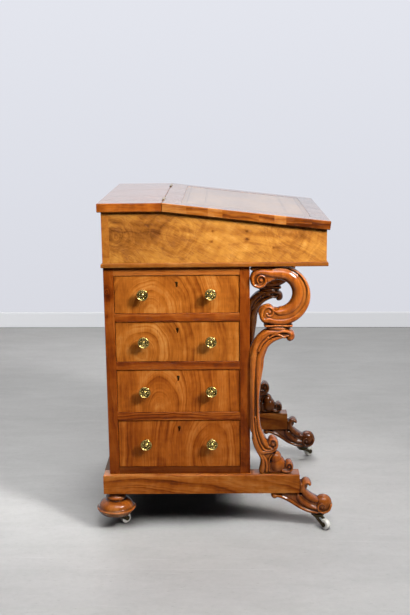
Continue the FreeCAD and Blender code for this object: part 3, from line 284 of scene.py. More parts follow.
def walnut(name, along, across, pith, face, cone=0.1, deep=20.0, spacing=8.0, warp=14.0, gain=1.0, warm=1.0,
           ring=0.5, streak=0.55, fibre=0.3, ripple=0.12, burr=0.3, eyes=(), seed=0.0, rough=0.36, coat=0.05,
           dirt_and_shade_in_hollows=False, patches=(), top_greying=0.0, ledge=0.0, slant=0.0, patch_run=("X", 0.6, 0.5)):
    """Polished walnut with rings about a pith at (across, along) millimetres, deep behind the board's face.

    Ring, streak, fibre, ripple and burr are how strong those figures are, spacing is that of the rings and
    warp how far they wander. Coat is the polish. Ledge replaces it on faces that look up,
    whose colour the top greying amount makes greyer and darker.
    """
    paint = Paint(name, Coat_Weight=coat, Coat_Roughness=POLISH_ROUGHNESS, Specular_IOR_Level=WOOD_SPECULAR)
    shift = (seed * 0.37, seed * 0.61, seed * 0.83)
    run = paint.turned(slant) if slant else paint.place

    def grained(scales):
        return paint.stretched(tuple(scales[0] if a == along else scales[1] for a in "XYZ"), shift, run)

    moved = paint.stretched(EVEN, shift)
    drawn = grained(DRAWN_GRAIN)
    r = ring_distance(paint, along, across, pith, face, cone, deep, warp, moved, drawn)
    if patches:
        patch = veneer_patches(paint, patches, patch_run)
        r = paint.math("ADD", r, paint.times(patch, PATCH_MOVE))
    fade = paint.ramp(paint.noise(drawn, *FADE), [(0.38, 0.1), (0.62, 1.0)])
    lines = paint.line_noise(r, 1.0 / (spacing * MM), 3.0, 0.6)
    lines = paint.math("SUBTRACT", paint.ramp(lines, [(0.24, 0.0), (0.5, 0.68), (0.74, 1.0)]), 0.66)
    lines = paint.times(lines, fade)
    broad = paint.centred(paint.line_noise(r, 0.22 / (spacing * MM), 1.5, 0.5), 2.6)
    hair = paint.noise(grained(HAIR_GRAIN), *HAIR)
    pit = paint.ramp(paint.noise(grained(PORE_GRAIN), *PORES), [(0.60, 0.0), (0.72, 1.0)])
    wave = paint.noise(grained(WAVE_GRAIN), *WAVE)
    cloud = paint.noise(moved, *CLOUD)
    mottle = paint.noise(paint.stretched(EVEN, shift, drawn), *MOTTLE)
    swirl = paint.noise(moved, *SWIRL)

    tone = paint.total(
        MEAN_TONE, paint.times(lines, ring * RING_TONE), paint.times(broad, streak * STREAK_TONE),
        paint.centred(hair, fibre * FIBRE_TONE), paint.centred(wave, ripple * RIPPLE_TONE),
        paint.centred(cloud, CLOUD_TONE), paint.centred(mottle, MOTTLE_TONE), paint.centred(swirl, burr),
        *eye_marks(paint, eyes),
    )
    if patches:
        tone = paint.math("ADD", tone, paint.centred(patch, PATCH_TONE))
    colour = paint.ramp(tone, list(zip(TONE_STOPS, tones(gain, warm))))
    colour = paint.blend(paint.times(pit, PORE_DARK), colour, PORE_COLOUR)
    # Faces that look up are made greyer and darker
    if top_greying:
        colour = paint.blend(paint.times(paint.upward(), top_greying), colour, TOP_GREY_COLOUR)
    if ledge:
        polish = paint.math("MULTIPLY_ADD", paint.upward(), ledge - coat, coat)
        paint.put(paint.bsdf.inputs["Coat Weight"], polish)
    # Carving: hollows darkened as dirt and painted shade, ridges lightened as wear and painted highlight,
    # sheltered corners given painted shade
    if dirt_and_shade_in_hollows:
        colour = carving_dirt_and_shade(paint, colour)
    height = paint.total(hair, paint.times(pit, -1.2), paint.times(lines, 0.25))
    roughness = paint.total(rough, paint.centred(hair, 0.16), paint.centred(cloud, 0.2))
    return paint.close(colour, roughness, height, depth=GRAIN_DEPTH)


# Inside wood: noise of its bands, hair and stains, and how finely the first two are drawn along and across
PLAIN_BANDS, PLAIN_HAIR, PLAIN_STAIN = (1.0, 3.0, 0.6, 0.8), (1.0, 3.0, 0.6), (14.0, 3.0)
BANDS_GRAIN, PLAIN_GRAIN = (6.0, 60.0), (20.0, 700.0)


def plain_wood(name, along, dark, light, rough=0.55, seed=0.0):
    """Unpolished or thinly finished inside wood."""
    paint = Paint(name, Specular_IOR_Level=0.35)
    shift = (seed * 0.4, seed * 0.7, seed * 0.9)

    def grained(scales):
        return paint.stretched(tuple(scales[0] if a == along else scales[1] for a in "XYZ"), shift)

    bands = paint.noise(grained(BANDS_GRAIN), *PLAIN_BANDS)
    hair = paint.noise(grained(PLAIN_GRAIN), *PLAIN_HAIR)
    tint = paint.noise(paint.stretched(EVEN, shift), *PLAIN_STAIN)
    tone = paint.total(0.5, paint.centred(bands, 1.6), paint.centred(hair, 0.7), paint.centred(tint, 0.7))
    colour = paint.ramp(tone, [(0.1, dark), (0.9, light)])
    return paint.close(colour, paint.total(rough, paint.centred(hair, 0.25)), hair, depth=0.0003)


# Specks and stains on brass and china: scale, detail and roughness
SPECK, TARNISH, CHINA_STAIN = (900.0, 2.0, 0.5), (120.0, 4.0, 0.65), (160.0, 4.0, 0.6)
BRIGHT_METAL = 1.15


def metal(name, colour, dark, rough, seed=0.0):
    """Old brass: bright where it is handled, brown in the hollows."""
    paint = Paint(name, Metallic=1.0)
    moved = paint.stretched(EVEN, (seed, seed, seed))
    tarnish = paint.noise(moved, *TARNISH)
    speck = paint.noise(moved, *SPECK)
    tone = paint.total(0.55, paint.centred(tarnish, 1.8), paint.centred(speck, 0.5))
    bright = tuple(min(1.0, c * BRIGHT_METAL) for c in colour)
    coat = paint.ramp(tone, [(0.15, dark), (0.55, colour), (1.0, bright)])
    curvature = paint.add("ShaderNodeNewGeometry").outputs["Pointiness"]
    dirt = paint.ramp(curvature, [(0.38, 0.12), (0.49, 0.85), (0.52, 1.0)])
    coat = paint.blend(1.0, coat, dirt, "MULTIPLY")
    roughness = paint.total(rough, paint.centred(tarnish, 0.3))
    return paint.close(coat, roughness, paint.total(tarnish, speck), depth=0.00012)


CHINA_TONES = [(0.15, (0.42, 0.34, 0.22)), (0.4, (0.82, 0.79, 0.72)), (0.75, (0.90, 0.885, 0.84))]


def china(name):
    """Glazed white ware with brown stains."""
    paint = Paint(name, Coat_Weight=0.5, Coat_Roughness=0.06)
    tint = paint.noise(paint.place, *CHINA_STAIN)
    speck = paint.noise(paint.place, *SPECK)
    tone = paint.total(0.6, paint.centred(tint, 1.4), paint.centred(speck, 0.5))
    colour = paint.ramp(tone, CHINA_TONES)
    return paint.close(colour, paint.total(0.25, paint.centred(tint, 0.25)), speck, depth=0.0001)


# Tooled lines: how far in from the leather's edge, and half their width
LEATHER_LINES = ((5.0, 0.8), (12.0, 1.6), (56.0, 0.9), (59.5, 0.4))
LEATHER_TONES = [(0.1, (0.10, 0.05, 0.026)), (0.5, (0.19, 0.115, 0.066)), (0.9, (0.27, 0.18, 0.11))]
LINE_COLOUR = (0.075, 0.03, 0.012)
PEBBLE_SCALE, RIM_WIDTH = 620.0, 0.03
HIDE_CLOUD, SCUFF, SCUFF_GRAIN = (13.0, 5.0, 0.62), (1.0, 4.0, 0.7), (40.0, 9.0, 20.0)


def leather(name, node):
    """Worn tan hide with blind-tooled lines round its border."""
    paint = Paint(name, Coat_Weight=0.8, Coat_Roughness=0.14, Specular_IOR_Level=0.5)
    low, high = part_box(node)
    middle, half = (low + high) / 2, (high - low) / 2

    def inset(axis, index):
        from_middle = paint.math("ABSOLUTE", paint.math("SUBTRACT", paint.axis[axis], middle[index]))
        return paint.math("SUBTRACT", half[index], from_middle)

    edge = paint.math("MINIMUM", inset("X", 0), inset("Y", 1))
    lines = 0.0
    for place, width in LEATHER_LINES:
        off = paint.math("ABSOLUTE", paint.math("SUBTRACT", edge, place * MM))
        line = paint.math("LESS_THAN", off, width * MM)
        lines = paint.math("MAXIMUM", lines, line)
    pebble = paint.add("ShaderNodeTexVoronoi", feature="DISTANCE_TO_EDGE")
    pebble.inputs["Scale"].default_value = PEBBLE_SCALE
    paint.put(pebble.inputs["Vector"], paint.place)
    grain = paint.ramp(pebble.outputs[0], [(0.0, 0.0), (0.12, 1.0)])
    cloud = paint.noise(paint.place, *HIDE_CLOUD)
    scuff = paint.noise(paint.stretched(SCUFF_GRAIN), *SCUFF)
    rim = paint.ramp(edge, [(0.0, 0.0), (RIM_WIDTH, 1.0)])
    tone = paint.total(0.42, paint.centred(cloud, 1.5), paint.centred(scuff, 0.6), paint.times(rim, 0.1))
    colour = paint.blend(paint.times(lines, 0.8), paint.ramp(tone, LEATHER_TONES), LINE_COLOUR)
    height = paint.total(paint.times(grain, 0.4), cloud, paint.times(lines, -2.0))
    return paint.close(colour, paint.total(0.36, paint.centred(cloud, 0.3)), height, depth=0.0002)


def dress(node, material):
    """Puts a material on every slot of a CAD node."""
    data = NODES[node].data
    data.materials.clear()
    data.materials.append(material)


# Drawer fronts: pith across and along, cone, depth of the pith, and how light and yellow the board is;
# the lower fronts are darker partly in their own tone and partly as painted shade, for light falling off
# lower down
DRAWER_FIGURES_AND_SHADE = (
    ((-149, 577), 0.85, 6, 0.82, 0.99),
    ((-174, 470), 0.80, 6, 0.77, 0.98),
    ((-133, 330), 0.40, 10, 0.78, 0.88),
    ((-9, 206), 0.50, 8, 0.71, 0.82),
)
LEFT_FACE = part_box("drawer_1_front")[0].y / MM
for index, (pith, cone, deep, gain, warm) in enumerate(DRAWER_FIGURES_AND_SHADE, 1):
    dress(f"drawer_{index}_front", walnut(
        f"drawer_walnut_{index}", "Z", "X", pith=pith, face=LEFT_FACE, cone=cone, deep=deep, warp=15,
        gain=gain, warm=warm, streak=0.7, burr=0.5, seed=index * 1.7))
    dress(f"drawer_{index}_carcase", plain_wood(
        f"drawer_lining_{index}", "Y", (0.30, 0.17, 0.07), (0.56, 0.37, 0.18), seed=index * 2.3))

# Eyes and pin knots: place, reach, spacing of the rings (none for a knot) and how dark they are
BOX_EYES = (
    (-227, 763, 40, 5.5, 0.42), (-92, 758, 66, 7.5, 0.24), (-150, 768, 40, 0, 0.26),
    (-222, 745, 60, 0, 0.12), (-200, 700, 46, 6, 0.26), (-20, 700, 60, 9, 0.14), (200, 760, 70, 9, 0.30),
    (1, 746, 4, 0, 0.5), (5, 770, 3.5, 0, 0.4), (86, 769, 4, 0, 0.35), (87, 750, 4.5, 0, 0.45),
    (150, 728, 3, 0, 0.35),
)
STILE_EYES = ((-257, 622, 13, 4, 0.9), (-254, 606, 9, 0, 0.45), (-259, 560, 6, 0, 0.35))
dress("box_side_left", walnut(
    "box_side_walnut", "X", "Z", pith=(640, -330), face=-258, cone=0.16, deep=30, spacing=11, warp=34,
    gain=1.12, warm=1.41, ring=0.22, streak=0.28, fibre=0.2, ripple=0.16, burr=0.4, eyes=BOX_EYES, seed=3.1,
    slant=-32.0))
dress("box_side_right", walnut(
    "box_side_walnut_right", "X", "Z", pith=(720, 60), face=258, cone=0.2, spacing=10, warp=24, gain=1.15,
    warm=1.06, ring=0.45, ripple=0.2, seed=8.3))
dress("box_front", walnut(
    "box_front_walnut", "Y", "Z", pith=(730, -40), face=279, cone=0.15, spacing=9, warp=20, gain=1.1,
    warm=1.14, ring=0.3, seed=5.9))
dress("box_back", walnut(
    "box_back_walnut", "Y", "Z", pith=(760, 90), face=-265, spacing=9, gain=0.92, warm=1.15, ring=0.3,
    seed=6.7))
dress("box_bead", walnut(
    "bead_walnut", "X", "Z", pith=(690, 0), face=-260, cone=0.05, deep=15, spacing=5, warp=5, gain=0.53,
    ledge=0.8, seed=2.2))
# Veneer patches: where each starts along its run, and its tone
LID_PATCHES = (
    (0.0, 0.50), (0.30, 0.68), (0.40, 0.52), (0.487, 0.92), (0.545, 0.46), (0.69, 0.54), (0.752, 0.84),
    (0.797, 0.1), (0.9, 0.02),
)
dress("lid_board", walnut(
    "lid_walnut", "X", "Y", pith=(-300, 0), face=820, deep=30, warp=12, gain=0.66, warm=0.95, ring=0.8,
    burr=0.8, coat=0.08, rough=0.28, seed=4.4, patches=LID_PATCHES, top_greying=0.6, ledge=0.95))
dress("top_board", walnut(
    "top_walnut", "X", "Y", pith=(-310, 0), face=840, cone=0.08, deep=30, warp=10, warm=0.9, ring=0.8,
    burr=0.7, coat=0.06, rough=0.26, seed=9.2, top_greying=0.6, ledge=0.95))
dress("writing_leather", leather("writing_leather_tan", "writing_leather"))

RAIL_FIGURE = {
    "cone": 0.03, "spacing": 6, "warp": 16, "gain": 0.53, "warm": 0.71,
    "ring": 0.6, "streak": 1.1, "burr": 0.8, "ledge": 0.8,
}
# Rail tone along Z: where each band starts and its tone; the top rail is painted lighter, as painted light
# against the bead's shadow on it
RAIL_TONES_WITH_LIT_TOP = ((0.0, 0.58), (0.6, 0.46), (0.75, 1.3))
dress("drawer_rails", walnut(
    "rail_walnut", "X", "Z", pith=(600, -90), face=-248, seed=1.3, patches=RAIL_TONES_WITH_LIT_TOP,
    patch_run=("Z", 0.8, 0.0), **RAIL_FIGURE))
dress("pedestal_bottom_board", walnut(
    "bottom_rail_walnut", "X", "Z", pith=(170, -90), face=-248, cone=0.03, spacing=6, gain=0.245, warm=0.63,
    streak=0.9, burr=0.8, ledge=0.8, seed=4.9))
dress("false_drawer_rails", walnut(
    "false_rail_walnut", "X", "Z", pith=(600, 0), face=248, seed=1.9, **RAIL_FIGURE))
dress("false_drawer_fronts", walnut(
    "false_front_walnut", "Z", "X", pith=(-120, 420), face=248, cone=0.25, deep=15, gain=0.98, warm=0.97,
    seed=7.7))
dress("pedestal_right_panel", walnut(
    "panel_walnut", "Z", "X", pith=(-60, 300), face=240, cone=0.12, warp=12, gain=0.85, warm=0.93,
    seed=7.1))
PEDESTAL_ENDS = (("pedestal_front_panel", 93, 2.7, ()), ("pedestal_back_panel", -265, 5.3, STILE_EYES))
for node, face, seed, eyes in PEDESTAL_ENDS:
    dress(node, walnut(
        f"{node}_walnut", "Z", "Y", pith=(-120, 250), face=face, deep=30, warp=16, gain=0.51, warm=0.69,
        ring=0.4, streak=0.7, burr=0.7, eyes=eyes, seed=seed))
# Inside and underneath boards are very dark, partly their own tone and partly painted shade under the desk
for node, seed in (("base_cross_rails", 3.7), ("box_floor", 6.1), ("drawer_runners", 2.9)):
    dress(node, plain_wood(f"{node}_wood", "Y", (0.07, 0.03, 0.012), (0.16, 0.075, 0.03), seed=seed))
# How light the runners and bun feet are on the left and on the right; the darker right side is painted shade
SIDE_SHADES, BASE_SEEDS = (1.0, 0.52), (1.1, 6.6)
for side, face, seed, tint in zip(SIDES, (-264, 264), BASE_SEEDS, SIDE_SHADES):
    dress(f"runner_{side}", walnut(
        f"runner_walnut_{side}", "X", "Z", pith=(70, -190), face=face, cone=0.2, deep=10, spacing=12,
        warp=20, gain=0.72 * tint, warm=0.85, ring=0.75, streak=1.0, burr=0.8, ledge=0.9, seed=seed))
    dress(f"inner_drawer_{side}", plain_wood(
        f"inner_drawer_{side}_wood", "Y", (0.34, 0.15, 0.05), (0.56, 0.30, 0.12), 0.4, seed))
dress("pigeonhole_nest", plain_wood("nest_wood", "Y", (0.30, 0.13, 0.045), (0.52, 0.28, 0.11), 0.42, 3.3))

BRASS = metal("brass_old", (0.52, 0.39, 0.13), (0.13, 0.08, 0.02), 0.25)
# Castor brass is near black, partly old brass and partly painted shade under the feet
CASTOR_BRASS = metal("brass_castor", (0.06, 0.043, 0.02), (0.012, 0.009, 0.006), 0.34, 1.3)
HINGE_BRASS = metal("brass_hinge", (0.42, 0.34, 0.22), (0.2, 0.14, 0.07), 0.36, 0.7)
LOCK_BRASS = metal("brass_lock", (0.55, 0.38, 0.15), (0.12, 0.07, 0.03), 0.42, 2.1)
CHINA = china("china_castor")
for node in ("hinge_top_leaves", "hinge_lid_leaves"):
    dress(node, HINGE_BRASS)
dress("castor_sockets", CASTOR_BRASS)
dress("lid_lock", LOCK_BRASS)
for index in range(1, 5):
    dress(f"drawer_{index}_lock", LOCK_BRASS)
for end in ("back", "front"):
    for side in SIDES:
        dress(f"castor_fork_{end}_{side}", CASTOR_BRASS)
        dress(f"castor_wheel_{end}_{side}", CHINA)


# Carving: bands and buttons in an XZ plane, melted together

def flow(points, per):
    """A smooth run through points of (x, z, half width)."""
    p = np.array(points, float)
    p = np.vstack([2 * p[0] - p[1], p, 2 * p[-1] - p[-2]])
    out = []
    for a, b, c, d in zip(p, p[1:], p[2:], p[3:]):
        square, cube = 2 * a - 5 * b + 4 * c - d, 3 * b - a - 3 * c + d
        for t in np.linspace(0.0, 1.0, per, endpoint=False):
            out.append(0.5 * (2 * b + (c - a) * t + square * t ** 2 + cube * t ** 3))
    out.append(p[-2])
    return np.array(out)


def profile(power, count=28):
    """Rounded cross-section of unit half sizes: two is an ellipse, more is squarer."""
    angle = np.linspace(0.0, 2 * math.pi, count, endpoint=False)
    c, s = np.cos(angle), np.sin(angle)
    bend = 2.0 / power
    return np.sign(c) * np.abs(c) ** bend, np.sign(s) * np.abs(s) ** bend


def tube_faces(rows, count, closed=True):
    """Faces of a tube of rows of count points, its first end filled and, if closed, its last one too."""
    faces = []
    for i in range(rows - 1):
        for j in range(count):
            k = (j + 1) % count
            faces.append((i * count + j, i * count + k, (i + 1) * count + k, (i + 1) * count + j))
    faces.append(tuple(range(count))[::-1])
    if closed:
        faces.append(tuple((rows - 1) * count + j for j in range(count)))
    return faces


def lathe_points(rings, count):
    """Points of a turned form from rings of (radius, height): two across its axis, then the height."""
    points = []
    for radius, height in rings:
        for j in range(count):
            angle = 2 * math.pi * j / count
            points.append((radius * math.cos(angle), radius * math.sin(angle), height))
    return points


def join(shells):
    """One list of points and one of faces from several of each."""
    verts, faces = [], []
    for shell_verts, shell_faces in shells:
        start = len(verts)
        verts += shell_verts
        faces += [tuple(start + i for i in face) for face in shell_faces]
    return verts, faces


# Round ends of a band: angles of their rows and depth of the tip. Then a band's least half width
END_TURNS, END_DEPTH, LEAST_WIDTH = (25.0, 50.0, 70.0, 86.0), 0.3, 0.2


def band(points, depth, power=2.3, per=7):
    """A strip with round ends along a run of (x, z, half width), with depth as its half thickness in Y."""
    run = flow(points, per)
    step = np.gradient(run[:, :2], axis=0)
    step /= np.maximum(np.linalg.norm(step, axis=1), 1e-9)[:, None]

    def round_end(index, way):
        (x, z, half), heading = run[index], step[index]
        rows = []
        for turn in END_TURNS:
            wide, out = math.cos(math.radians(turn)), math.sin(math.radians(turn))
            place = np.array((x, z)) + way * heading * half * out
            rows.append((place, heading, half * wide, END_DEPTH + (1.0 - END_DEPTH) * wide))
        return rows

    rows = round_end(0, -1.0)[::-1]
    rows += [(p[:2], t, max(p[2], LEAST_WIDTH), 1.0) for p, t in zip(run, step)]
    rows += round_end(-1, 1.0)
    across, thick = profile(power)
    verts = []
    for (x, z), (tx, tz), half, share in rows:
        for a, y in zip(across, thick):
            verts.append((x - tz * a * half, y * depth * share, z + tx * a * half))
    return verts, tube_faces(len(rows), len(across))


def button(x, z, rx, rz, depth, power=2.0, rings=16, count=40):
    """A rounded boss of radii rx and rz: a power of two makes a ball, more a squarish cushion."""
    verts, faces = [], []
    bend = 2.0 / power
    for i in range(1, rings):
        latitude = math.pi * i / rings - math.pi / 2
        wide = abs(math.cos(latitude)) ** bend
        y = math.copysign(abs(math.sin(latitude)) ** bend, latitude) * depth
        for j in range(count):
            angle = 2 * math.pi * j / count
            verts.append((x + rx * wide * math.cos(angle), y, z + rz * wide * math.sin(angle)))
    for i in range(rings - 2):
        for j in range(count):
            k = (j + 1) % count
            faces.append((i * count + j, (i + 1) * count + j, (i + 1) * count + k, i * count + k))
    low, high = len(verts), len(verts) + 1
    verts += [(x, -depth, z), (x, depth, z)]
    last = (rings - 2) * count
    for j in range(count):
        k = (j + 1) % count
        faces.append((low, j, k))
        faces.append((high, last + k, last + j))
    return verts, faces


def add_object(name, data):
    made = bpy.data.objects.new(name, data)
    bpy.context.scene.collection.objects.link(made)
    return made


def new_object(name, verts, faces):
    mesh = bpy.data.meshes.new(name)
    mesh.from_pydata(verts, [], faces)
    mesh.update()
    return add_object(name, mesh)


def melted(shells, voxel=1.1, soft=3):
    """Joins closed shells, given in millimetres, into one carved skin and returns its mesh."""
    verts, faces = join(shells)
    rough = new_object("carving_rough", [(x * MM, y * MM, z * MM) for x, y, z in verts], faces)
    remesh = rough.modifiers.new("melt", "REMESH")
    remesh.mode = "VOXEL"
    remesh.voxel_size = voxel * MM
    ease = rough.modifiers.new("ease", "SMOOTH")
    ease.factor = 0.5
    ease.iterations = soft
    ready = rough.evaluated_get(bpy.context.evaluated_depsgraph_get())
    mesh = bpy.data.meshes.new_from_object(ready)
    bpy.data.objects.remove(rough)
    return mesh


SIDE_SEEDS = (0.0, 2.6)


def carve(name, shells, origin, fit, side_shades, seed):
    """Left and right copies of a carved piece from an origin in X and Z, centred on its node in Y; the right
    is painted darker, as painted shade.
    """
    mesh = melted(shells)
    points = np.zeros(len(mesh.vertices) * 3, np.float32)
    mesh.vertices.foreach_get("co", points)
    points = points.reshape(-1, 3)
    points[:, 0] += origin[0]
    points[:, 2] += origin[1]
    points = fit(points)
    for side, turn, tint in zip(SIDES, SIDE_SEEDS, side_shades):
        node = f"{name}_{side}"
        low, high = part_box(node)
        copy = mesh.copy()
        placed = points.copy()
        placed[:, 1] += (low.y + high.y) / 2
        copy.vertices.foreach_set("co", placed.ravel())
        copy.shade_smooth()
        copy.update()
        piece = add_object(f"carved_{node}", copy)
        copy.materials.append(walnut(
            f"carved_walnut_{node}", "Z", "X", pith=(120, 300), face=low.y / MM, cone=0.12, spacing=6,
            warp=12, gain=tint, warm=0.85, ring=0.1, streak=0.6, burr=0.6, coat=0.5, rough=0.2,
            seed=seed + turn, dirt_and_shade_in_hollows=True))
        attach(piece, "desk")
        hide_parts(node)
    bpy.data.meshes.remove(mesh)


# Clearances of the carving from the face that it stands on, those beside it and the runner's end
SEAT_GAP, SIDE_GAP, END_GAP = 0.0001, 0.0002, 0.0003
PEDESTAL_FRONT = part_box("pedestal_front_panel")[1].x
BOX_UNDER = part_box("box_floor")[0].z
RUNNER_LOW, RUNNER_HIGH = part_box("runner_left")


def polar(centre, radius, degrees):
    angle = math.radians(degrees)
    return np.array((centre[0] + radius * math.cos(angle), centre[1] + radius * math.sin(angle)))


def between(first, second, share):
    point = first * (1 - share) + second * share
    return point[0], point[1]


# C scroll, from the pedestal's front face and the underside of the box: circles of (x, z, radius)
RING, GROOVE, HOLLOW = (72, -74.5, 74.3), (75, -65, 61.8), (69.5, -69, 35)


def ring_run(inner, outer, degrees, grow):
    """Points midway between two circles, grown a little, with half the gap as the half width."""
    run = []
    for angle in degrees:
        a, b = polar(inner, inner[2] + grow[0], angle), polar(outer, outer[2] + grow[1], angle)
        x, z = between(a, b, 0.5)
        run.append((x, z, np.linalg.norm(b - a) / 2))
    return run


upper_curl = [
    (20.5, -40, 2.6), (17.5, -33.5, 3), (20, -26, 3.4), (28, -22.5, 3.8), (36.3, -27.5, 4.2),
    (38.6, -37.5, 4.6), (32.5, -47, 5), (21, -50.3, 5.3), (9.5, -44.5, 5.6), (6.3, -30.5, 6),
    (13, -18.5, 7.4), (28, -14, 10), (47, -17.5, 12.6),
]
lower_curl = [
    (36, -134.5, 8.2), (29.5, -125.5, 6.2), (30.3, -112.5, 5.4), (36.5, -103.5, 5), (47, -100.8, 4.6),
    (55.3, -106, 4.2), (57.3, -115.5, 3.8), (52.5, -122.5, 3.3), (45, -122.5, 2.9), (41.5, -117, 2.5),
]
scroll = [
    band(ring_run(HOLLOW, RING, range(125, -126, -10), (1.5, -3)), 16.2, power=5, per=3),
    band(upper_curl + ring_run(HOLLOW, GROOVE, range(90, -91, -15), (-0.5, -1.5)) + [
        (65.5, -113, 7.5), (60, -110, 3.6)], 20, power=2.2, per=6),
    band(ring_run(GROOVE, RING, range(72, -113, -8), (1.5, 0.4)) + lower_curl, 18.8, power=2.4, per=5),
    button(27, -34, 7.6, 7.6, 20.5), button(48, -113.8, 6.6, 6.6, 20),
    button(22, -33, 19, 19, 15.6, 5), button(45.5, -116.5, 18, 18, 15.6, 5),
    button(34, -7.5, 33.5, 7.4, 11, 6), button(63.5, -111.5, 4, 4.6, 19.5), button(65, -121.5, 4, 5, 17),
]


def under_box(points):
    points[:, 2] = np.minimum(points[:, 2], BOX_UNDER - SEAT_GAP)
    points[:, 0] = np.maximum(points[:, 0], PEDESTAL_FRONT + SIDE_GAP)
    return points


# The right copy of each carved piece is much darker than the left, as painted shade
carve("support_scroll", scroll, (PEDESTAL_FRONT, BOX_UNDER), under_box, side_shades=(0.86, 0.28), seed=1.2)

# S stem: matched points on its back and front edges, from the curl down to the knee
STEM_BACK = (
    (98, 525), (80, 526), (60, 526), (38, 524), (22, 510), (11, 492), (5, 472), (2.4, 448), (1.2, 412),
    (0.9, 345), (1.2, 300), (2.6, 262), (6, 236), (12, 214), (22, 199),
)
STEM_FRONT = (
    (93, 505), (82, 501), (67, 495), (52, 485), (38, 470), (30, 451), (26.5, 434), (25.6, 412), (25, 387),
    (24, 345), (24.5, 300), (28, 272), (35, 252), (41, 240), (48, 229),
)


def rib(share, half, tail=(), first=0, last=None):
    """A strip down the stem at a share of the way from its back edge to its front edge."""
    run = []
    for a, b in zip(STEM_BACK[first:last], STEM_FRONT[first:last]):
        a, b = np.array(a, float), np.array(b, float)
        x, z = between(a, b, share)
        run.append((x, z, half * np.linalg.norm(b - a)))
    return run + list(tail)


stem = [
    band(rib(0.5, 0.46), 13.6, power=5, per=5),
    band([(3.4, 455, 3.4), (3, 400, 3), (3, 300, 3), (4.4, 262, 3.6)], 17, power=6, per=12),
    band(rib(0.25, 0.232, ((43, 206, 6), (55.5, 208.5, 5.4), (64.5, 215.5, 4.9), (67.3, 226, 4.6),
        (64, 236, 4.4), (56, 240.3, 4.2), (49.2, 235.5, 3.8), (48.8, 228, 3.2))), 19, power=2.4, per=6),
    band(rib(0.77, 0.208, ((47, 219, 3.6), (53.5, 217.5, 3.2))), 19.8, power=2.4, per=6),
    band(rib(0.51, 0.1, ((45, 212.5, 2.6), (56, 213.5, 2.6), (62, 220, 2.4)), first=10), 20.3, per=6),
    band(rib(0.5, 0.12, first=3, last=6), 20.2, per=6),
    band([(62, 515, 5.6), (78, 520, 6), (91, 519.6, 6.6), (100.8, 513.6, 8.4), (101.6, 504.8, 9.4),
        (99, 502, 9)], 20.6),
    button(93, 508, 8, 9, 12, 3),
    band([(58, 499.5, 3.4), (68, 502.5, 3.8), (78, 504, 3.4)], 18.6),
    band([(48, 504, 2.2), (58, 510.5, 3.8), (70, 511.5, 4.6), (80, 508, 4.2), (86, 504, 2.8)], 21),
    band([(38, 533.6, 3.7), (50, 534.2, 2.9), (70, 534.8, 2.5), (90, 534.2, 2.9), (102.5, 533.6, 3.7)],
        20.6, power=3, per=6),
    button(69, 527, 26, 7, 19.6, 2.3), band([(44, 530, 4.4), (97, 530, 4.4)], 13, power=3, per=12),
    button(57, 226.5, 7.4, 7.4, 21), button(55.5, 226, 14, 14, 15.6, 4),
    band([(8, 240, 4), (14, 222, 5.4), (23, 204, 6.4), (31, 188, 6.2), (32, 172, 6.6), (30, 154, 8)], 18.6),
    band([(22, 212, 3.6), (31, 199, 5), (39.8, 185, 5.2), (42.4, 170, 4.8), (41.5, 154, 5.6)], 17.6),
    button(69.5, 171, 20, 22, 20.5, 2.4), button(65.5, 187, 14.5, 18.5, 19.4, 2.1),
    band([(55.5, 200, 2), (48.8, 189, 2.6), (47.2, 174, 2.8), (49, 156, 3.2)], 18),
    button(42, 180, 9, 26, 13, 3),
    band([(83, 155.5, 5.2), (93.5, 153, 4.8), (103.3, 156.5, 4.3), (106.5, 166.5, 4), (101.3, 175.5, 3.6),
        (93.5, 174.5, 3.2), (91.5, 167.5, 2.8)], 18.6),
    button(99, 166, 4.8, 4.8, 19.2), button(98, 165, 10, 10, 14, 4),
    button(64, 163, 40, 16, 14, 5), button(44, 200, 15, 17, 15, 3),
]


def on_runner(points):
    points[:, 2] = np.maximum(points[:, 2], RUNNER_HIGH.z + SEAT_GAP)
    points[:, 0] = np.maximum(points[:, 0], PEDESTAL_FRONT + SIDE_GAP)
    return points


carve("support_stem", stem, (PEDESTAL_FRONT, 0.0), on_runner, side_shades=(0.82, 0.22), seed=2.4)

# Scroll foot, from the runner's front end
foot = [
    button(62, 63.5, 22.3, 22.3, 20, 2.3),
    band([(80.8, 62, 4.4), (75, 48.8, 4.6), (62, 42.6, 4.6), (49.5, 48.8, 4.2), (48, 60.5, 3.8),
        (56.5, 67, 3.4), (65.5, 62.5, 3), (64.5, 54.5, 2.4)], 21.5),
    button(58, 56.5, 4.8, 4.8, 22.3),
    band([(26.3, 118.6, 4.8), (22.8, 122.6, 5.6), (16.8, 123.6, 6.4), (10.8, 119.2, 6.8),
        (8.6, 110.5, 7.2), (11, 99.5, 8.4), (18.5, 88.5, 9.2), (30.5, 79.5, 8.8), (43, 74, 7)],
        20, power=2.4),
    band([(4.7, 99, 4.4), (4.7, 119, 4.4)], 18.5, power=5, per=10),
    button(13.5, 113, 8, 9, 13, 4),
    band([(-3.5, 92, 5), (-1, 82, 8.8), (10, 70, 10.6), (26, 59.8, 9.8), (42, 54.5, 7.4)], 19.6),
    band([(-60, 89.5, 5.4), (-45, 85.5, 6.4), (-28, 77.5, 7), (-12, 67, 6.8), (1, 57.6, 6.6),
        (16, 49.8, 6.2), (33, 43.8, 5.8), (48, 42, 4.8)], 18.5),
    band([(-42, 92, 6), (-20, 87, 10), (0, 77, 15), (20, 64, 16), (40, 58, 15)], 15.4, power=5),
    button(-63.3, 88, 9.3, 9.3, 20, 2.4), button(-63.3, 87, 4.2, 4.2, 21),
]


def under_runner(points):
    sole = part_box("scroll_foot_left")[0].z
    points[:, 2] = np.maximum(points[:, 2], sole)
    below = points[:, 0] < RUNNER_HIGH.x + END_GAP
    points[below, 2] = np.minimum(points[below, 2], RUNNER_LOW.z - SIDE_GAP)
    return points


carve("scroll_foot", foot, (RUNNER_HIGH.x, 0.0), under_runner, side_shades=(0.84, 0.38), seed=3.8)


